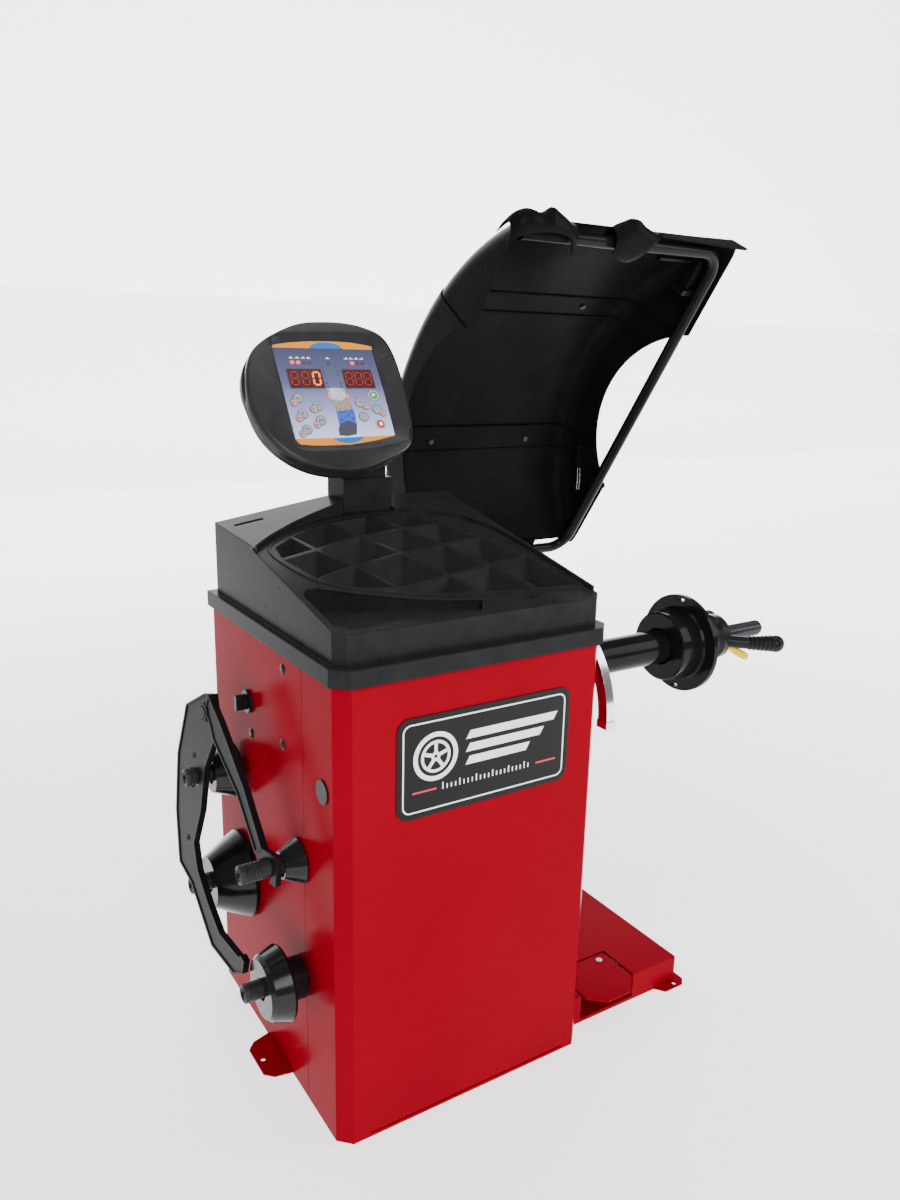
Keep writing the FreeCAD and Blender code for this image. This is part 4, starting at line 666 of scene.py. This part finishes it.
def make_nut_grips():
    """Raised rings along each of the nut's two handles, and one round the end of each."""
    lean = math.radians(-3)
    direction = Vector((0, -math.cos(lean), math.sin(lean)))
    axis = Vector((0, 0, SHAFT_Z))
    verts, faces = [], []
    for side in (1, -1):
        a = axis + Vector((864, 0, 0)) + direction * 70 * side
        b = axis + Vector((921, 0, 0)) + direction * 102 * side
        way = (b - a).normalized()
        for k in range(6):
            t = 0.08 + 0.145 * k
            radius = 14 + 4 * t
            add_collar(verts, faces, a + (b - a) * t, way, ((-2.6, radius - 0.8), (-1.5, radius + 1.6),
                                                           (1.5, radius + 1.6), (2.6, radius - 0.8)))
        face = Vector((-0.72, -0.62 * side, 0.3)).normalized()
        add_collar(verts, faces, b, face, ((15.5, 11.4), (18.6, 10.4), (18.4, 8.6), (15.0, 7.6)))
    solid("grip_rings", verts, faces, PLASTIC, "quick_nut", smooth=True)


def make_lever():
    """The yellow release lever: a rounded paddle on its knuckle."""
    root, tip = Vector((836, -42, 644)), Vector((881, -60.5, 617))
    stations = ((-0.08, 1.5), (-0.07, 4), (-0.02, 5.6), (0.15, 7.0), (0.3, 8.2), (0.5, 9.2), (0.72, 9.4),
                (0.88, 8.4), (0.96, 6.2), (1.0, 3.0), (1.01, 0.8))
    points = [tuple(root + (tip - root) * t) for t, r in stations]
    radii = [r for t, r in stations]
    lever = pipe("release_paddle", points, radii, YELLOW, "release_lever", count=28)
    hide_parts("release_lever")


# ---------------------------------------------------------------- guard
def on_hood(x, u, v):
    """A point of the raised guard: across, along it from its hinge, and behind its front edges."""
    lean = math.radians(34.2)
    return (x, 573 - u * math.sin(lean) + v * math.cos(lean), 769 + u * math.cos(lean) + v * math.sin(lean))


# the guard's arch, seen from the side: its radius, its middle along the guard, and its centre's depth
HOOD_RADIUS, HOOD_MIDDLE, HOOD_SUNK = 620, 460, 416
BOX_SIDES = [(0, 1, 3, 2), (4, 6, 7, 5), (0, 4, 5, 1), (2, 3, 7, 6), (0, 2, 6, 4), (1, 5, 7, 3)]


def hood_back(u):
    """How far the guard's arched outside lies behind its front edges."""
    return math.sqrt(HOOD_RADIUS ** 2 - (u - HOOD_MIDDLE) ** 2) - HOOD_SUNK


def block(x, u, v):
    """The corners of a box on the guard."""
    return [on_hood(a, b, c) for a in x for b in u for c in v]


def make_hood_fittings():
    """Screws through the joint bands, and an edge clip with two rods on each side."""
    count = 20
    verts, faces = [], []
    for x, u in ((404, 632), (690, 632), (404, 251), (690, 251)):
        v = hood_back(u) - 6.4
        slope = (u - HOOD_MIDDLE) / HOOD_RADIUS
        for radius, low, high in ((6.2, 0.2, -1.0), (3.2, -1.0, -2.2)):
            base = len(verts)
            for depth in (low, high):
                for a, b in disc(0, 0, radius, count):
                    verts.append(on_hood(x + a, u + b, v + depth - slope * b))
            faces += [tuple(range(base, base + count)), tuple(range(base + count, base + 2 * count))]
            faces += ring_faces(2, count, base)
    solid("hood_screws", verts, faces, DARK_STEEL, "hood")
    for name, x in (("right", 836), ("left", 277)):
        a, b = Vector((x, 264, 116)), Vector((x, 214, 78))
        way = (b - a).normalized()
        cross = Vector((0, -way.z, way.y))
        verts, faces = [], []
        for low, high, near, far, half in ((0, 62, -9, 9, 8), (4, 58, -6, 6, 9.5), (24, 30, -10, 10, 9)):
            base = len(verts)
            verts += [on_hood(*(a + way * t + cross * w + Vector((s, 0, 0))))
                      for s in (-half, half) for t in (low, high) for w in (near, far)]
            faces += [tuple(base + i for i in side) for side in BOX_SIDES]
        solid("edge_clip_" + name, verts, faces, PLASTIC, "hood")
        for k, shift in enumerate((-4, 4)):
            beside = Vector((shift, 0, 0))
            points = [on_hood(*(b + beside)), on_hood(*(b + way * 30 + beside)),
                      on_hood(*(b + way * 52 + Vector((shift, -6, 0))))]
            pipe("clip_rod_%s_%d" % (name, k), points, 2.2, STEEL, "hood")


def smooth_path(points, count):
    """A smooth path through a few points."""
    return [smooth_value(points, k / (count - 1) * (len(points) - 1)) for k in range(count)]


def smooth_value(points, t):
    """The point at place t of the smooth path, where each whole number is a given point."""
    k = min(int(t), len(points) - 2)
    four = [Vector(points[min(max(k + m, 0), len(points) - 1)]) for m in (-1, 0, 1, 2)]
    return between(*four, t - k)


def make_flap(name, stations):
    """A moulded lip that curls over the top bar: each station is x and its (along, behind) path."""
    count, fill, thick = 16, 5, 2.6
    rows = [[(x, *point) for point in smooth_path(path, count)] for x, path in stations]
    fine = []
    for k in range((len(rows) - 1) * fill + 1):
        t = min(k / fill, len(rows) - 1)
        fine.append([smooth_value([row[m] for row in rows], t) for m in range(count)])
    verts, faces = [], []
    for column in fine:
        for side in (0, thick):
            for m, point in enumerate(column):
                ahead = column[min(m + 1, count - 1)] - column[max(m - 1, 0)]
                normal = Vector((0, -ahead.z, ahead.y)).normalized()
                verts.append(on_hood(*(point + normal * side)))
    ring = list(range(count)) + list(range(2 * count - 1, count - 1, -1))
    whole = len(ring)
    for k in range(len(fine) - 1):
        for m in range(whole):
            a, b = ring[m], ring[(m + 1) % whole]
            faces.append((k * whole + a, k * whole + b, (k + 1) * whole + b, (k + 1) * whole + a))
    faces += [tuple(ring), tuple((len(fine) - 1) * whole + a for a in ring)]
    solid(name, verts, faces, HOOD, "hood", smooth=True)


def make_hood_lips():
    """The two moulded lips on the guard's top bar."""
    make_flap("hood_lip_left", [
        (266, [(862, 30), (884, 22), (896, 8), (886, -6), (868, -10), (858, -9)]),
        (276, [(884, 24), (902, 20), (912, 6), (902, -10), (886, -15), (876, -14)]),
        (290, [(890, 22), (911, 18), (922, 4), (910, -12), (896, -18), (887, -17)]),
        (306, [(892, 22), (912, 17), (923, 3), (912, -13), (900, -18), (892, -18)]),
        (324, [(893, 20), (909, 16), (919, 2), (910, -13), (902, -18), (895, -18)]),
        (338, [(893, 20), (911, 17), (922, 3), (911, -13), (903, -18), (896, -18)]),
        (350, [(893, 20), (917, 18), (931, 4), (915, -12), (905, -18), (897, -18)]),
        (368, [(893, 20), (912, 18), (924, 3), (910, -13), (902, -18), (896, -18)]),
        (390, [(893, 20), (906, 16), (914, 1), (905, -14), (898, -19), (892, -18)]),
        (402, [(894, 18), (902, 14), (908, 0), (898, -15), (890, -19), (882, -18)]),
        (412, [(895, 16), (900, 13), (904, 0), (892, -15), (876, -19), (864, -17)]),
        (420, [(896, 16), (899, 12), (901, 0), (886, -14), (864, -18), (852, -14)])])
    make_flap("hood_lip_right", [
        (516, [(896, 18), (902, 14), (903, 4), (896, -10), (880, -18), (868, -18)]),
        (530, [(894, 20), (910, 16), (914, 4), (900, -12), (874, -20), (859, -16)]),
        (548, [(894, 20), (914, 16), (927, 4), (904, -13), (868, -20), (852, -14)]),
        (566, [(894, 20), (912, 16), (928, 2), (904, -14), (866, -20), (851, -14)]),
        (586, [(896, 18), (908, 14), (918, 0), (903, -14), (878, -20), (862, -17)]),
        (606, [(898, 16), (904, 12), (911, 0), (906, -10), (897, -17), (886, -19)]),
        (630, [(900, 14), (903, 10), (905, 2), (904, -3), (903, -7), (901, -9)])])


def section(u, inset, low):
    """The guard's inner cross-section at one place along it, as (x, along, behind) points."""
    wall, slope, steps = 3, 0.24, 8
    back = hood_back(u) - wall - inset
    left, right, corner = 270 + wall + inset, 862 - wall - inset, 43 - inset
    points = [(left, u, low), (left, u, back - corner)]
    for k in range(1, steps):
        turn = math.radians(90 * k / steps)
        points.append((left + corner - corner * math.cos(turn), u, back - corner + corner * math.sin(turn)))
    points.append((left + corner, u, back))
    far = right - slope * back
    points.append((far - corner * 1.1, u, back))
    for k in range(1, steps):
        turn = math.radians(90 * k / steps)
        across = (far - corner * 1.1 + corner * 1.05 * math.sin(turn)
                  + slope * corner * (1 - math.cos(turn)))
        points.append((across, u, back - corner + corner * math.cos(turn)))
    points.append((right - slope * (back - corner), u, back - corner))
    points.append((right - slope * low, u, low))
    return points


def make_hood_ridges():
    """The raised edges of the bands where the guard's panels overlap."""
    for k, (u, low) in enumerate(((662, 40), (604, 76), (285, 66), (228, 40))):
        path = [on_hood(*point) for point in section(u, 2.0, low)]
        pipe("hood_ridge_%d" % k, path, 2.4, HOOD, "hood", count=10)


def make_hood_stub():
    """The short stay near the guard's top corner with its bracket, and the strap by the hinge."""
    pipe("stay_rod", [on_hood(716, 832, 52), on_hood(838, 832, 52)], 6, GLOSS, "hood")
    verts, faces = [], []
    for x, u, v in (((812, 824), (772, 846), (26, 60)), ((800, 832), (766, 778), (18, 64)),
                    ((826, 838), (784, 850), (30, 46))):
        base = len(verts)
        verts += block(x, u, v)
        faces += [tuple(base + i for i in side) for side in BOX_SIDES]
    solid("stay_bracket", verts, faces, PLASTIC, "hood")
    strap = [(838, 36, 70), (840, 44, 50), (842, 54, 24), (842, 60, -6)]
    verts = []
    for x, u, v in strap:
        verts += [on_hood(x - 2, u - 8, v), on_hood(x + 2, u - 8, v), on_hood(x + 2, u + 8, v + 4),
                  on_hood(x - 2, u + 8, v + 4)]
    faces = ring_faces(len(strap), 4)
    faces += [(0, 1, 2, 3), tuple(len(verts) - 4 + m for m in range(4))]
    solid("guard_strap", verts, faces, PLASTIC, "hood")


def on_pedal(x, y, out):
    """A point on the pedal's top, about the screw."""
    return (392 + x, -162 + y, 59 + out)


def make_pedal_screw():
    """The bright round-headed screw on the pedal, with a cross slot's raised lands."""
    lands = [[(sx * 0.7, sy * 0.7), (sx * 3.6, sy * 0.7), (sx * 2.9, sy * 2.9), (sx * 0.7, sy * 3.6)]
             for sx in (-1, 1) for sy in (-1, 1)]
    slabs("pedal_screw_head", [disc(0, 0, 6.4, 28)], on_pedal, 0, 2.2, STEEL, "pedal")
    slabs("pedal_screw_lands", lands, on_pedal, 2.1, 3.0, STEEL, "pedal")


# ---------------------------------------------------------------- tray
def bead(name, points, wide, tall, closed):
    """A raised moulded line along a path, flat underneath and rounded on top."""
    count, n, sunk = 9, len(points), 1.5
    verts = []
    for i, point in enumerate(points):
        a = Vector(points[(i - 1) % n] if closed or i else points[0])
        b = Vector(points[(i + 1) % n] if closed or i < n - 1 else points[-1])
        ahead = (b - a).normalized()
        side = Vector((ahead.y, -ahead.x, 0)).normalized()
        up = side.cross(ahead)
        up = up if up.z > 0 else -up
        end = 1.0 if closed or 0 < i < n - 1 else 0.35
        for k in range(count):
            turn = math.pi * k / (count - 1)
            verts.append(tuple(Vector(point) + side * (math.cos(turn) * wide * end)
                               + up * (math.sin(turn) * tall * end - sunk)))
    faces = ring_faces(n, count, closed=closed)
    if not closed:
        faces += [tuple(range(count)), tuple(range((n - 1) * count, n * count))]
    return solid(name, verts, faces, TRAY, "cabinet", smooth=True)


def on_field(x, y):
    """A point on the sloping field of the weight pockets."""
    return (x, y, 881 + 0.21 * (y + 262))


def make_tray_beads():
    """The rim round the weight pockets, the lip of the left deck and the lip in front of the pockets."""
    oval = [(-215, 62), (-165, 104), (-77, 150), (20, 170), (108, 163), (147, 108), (188, 27), (224, -72),
            (240, -210), (155, -204), (45, -190), (-50, -172), (-90, -155), (-150, -122), (-196, -78),
            (-222, 10)]
    # the rim's path is the pockets' outline, grown a little away from its middle
    cx, cy = 0, -30
    grown = []
    for x, y in oval:
        length = math.hypot(x - cx, y - cy)
        grown.append((x + (x - cx) / length * 5, y + (y - cy) / length * 4))
    loop = smooth_loop(grown, 6)
    bead("tray_pocket_rim", [on_field(x, y) for x, y in loop], 3.2, 3.4, True)
    # the deck's lip is a parabola through a start, a middle and an end
    ax, ay, mx, my, bx, by = -252, 54, -150, 132, -20, 186
    steps = 24
    arc = []
    for k in range(steps + 1):
        t = k / steps
        x = (1 - t) * (1 - 2 * t) * ax + 4 * t * (1 - t) * mx + t * (2 * t - 1) * bx
        y = (1 - t) * (1 - 2 * t) * ay + 4 * t * (1 - t) * my + t * (2 * t - 1) * by
        arc.append((x, y, 954 + 0.16 * (x + 251) + 0.06 * (y - 54)))
    hook = [(-252.5, 38, 951.5), (-253, 45, 953)]
    bead("tray_deck_lip", hook + arc, 4.2, 3.6, False)
    front = [(-207, -110), (-196, -112), (-172, -128), (-150, -141), (-123, -156), (-96, -170), (-68, -182),
             (-40, -193), (-8, -203), (30, -212), (38, -217), (34, -224)]
    bead("tray_front_lip", [on_field(x, y) for x, y in front], 3.4, 3.0, False)


# ---------------------------------------------------------------- pegs and caliper
def make_sleeves():
    """Ribbed sleeves over the four pegs, each with a dimpled end."""
    pegs = ((147, 521), (147, 302), (-124, 462), (-124, 243))
    profile = [(-362, 5), (-360.5, 6), (-358.5, 8.5), (-361, 10.5), (-362, 12.5), (-361, 15.2), (-359, 16)]
    for k in range(5):
        x = -353 + 6 * k
        profile += [(x, 16), (x + 0.8, 14.9), (x + 2.2, 14.9), (x + 3, 16)]
    profile += [(-255.2, 16), (-255, 15), (-255, 12.05), (-358, 12.05), (-358, 5)]
    count = 40
    verts, faces = [], []
    for back, up in pegs:
        base = len(verts)
        for i in range(count):
            turn = 2 * math.pi * i / count
            verts += [(x, back + r * math.cos(turn), up + r * math.sin(turn)) for x, r in profile]
        faces += ring_faces(count, len(profile), base, closed=True)
    sleeves = solid("ribbed_sleeves", verts, faces, RUBBER, "cabinet", smooth=True)
    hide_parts("peg_sleeves")


# the caliper's two arms, as (back, up) outlines
LEFT_ARM = [(188, 647), (127, 684), (100, 690), (84, 650), (80, 614), (106, 552), (108, 470), (124, 401),
            (104, 356), (62, 312), (16, 274), (-50, 262), (-56, 268), (-68, 262), (-66, 238), (-39, 223),
            (39, 238), (125, 322), (172, 344), (198, 438), (207, 547)]
RIGHT_ARM = [(96, 692), (51, 655), (-39, 569), (-66, 536), (-106, 488), (-88, 472), (-19, 550), (69, 617),
             (84, 640), (104, 664)]


def on_caliper(back, up, out):
    """A point on the caliper's leaning face."""
    lean_back, lean_up = 0.183, 0.1155
    unit = Vector((1, lean_back, -lean_up)).normalized()
    return (-379.4 - lean_back * back + lean_up * up + unit.x * out, back + unit.y * out, up + unit.z * out)


def inwards(points, distance):
    """The same outline moved in, corner by corner."""
    n = len(points)
    pairs = list(zip(points, points[1:] + points[:1]))
    hand = 1 if sum(a[0] * b[1] - b[0] * a[1] for a, b in pairs) > 0 else -1
    out = []
    for i in range(n):
        a, b, c = (Vector(points[(i + k) % n]) for k in (-1, 0, 1))
        first, second = (b - a).normalized(), (c - b).normalized()
        n1, n2 = (Vector((-d.y, d.x)) * hand for d in (first, second))
        half = n1 + n2
        out.append(tuple(b + half * (distance / max(0.35, half.length_squared / 2))))
    return out


def make_caliper_ribs():
    """Raised edges and bosses on the caliper's two arms."""
    slabs("caliper_rim_body", [(LEFT_ARM, inwards(LEFT_ARM, 4))], on_caliper, -1.4, 1.2, PLASTIC,
          "caliper_body")
    slabs("caliper_rim_arm", [(RIGHT_ARM, inwards(RIGHT_ARM, 3.6))], on_caliper, -11.8, -9.4, PLASTIC,
          "caliper_arm")
    rings = [(disc(110, 655, 16.5), disc(110, 655, 12))]
    slabs("caliper_pivot_ring", rings, on_caliper, -12.6, -9.4, PLASTIC, "caliper_arm")
    marks = [(disc(150, 560, 5), disc(150, 560, 2.4)), (disc(150, 400, 6), disc(150, 400, 3))]
    slabs("caliper_marks", marks, on_caliper, -0.8, 0.9, PLASTIC, "caliper_body")


make_label_print()
make_tray_beads()
make_sleeves()
make_caliper_ribs()
make_display_print()
make_bezel()
make_thread()
make_nut_grips()
make_lever()
make_pedal_screw()
make_hood_fittings()
make_hood_lips()
make_hood_ridges()
make_hood_stub()

make_camera()
make_studio()
make_floor()
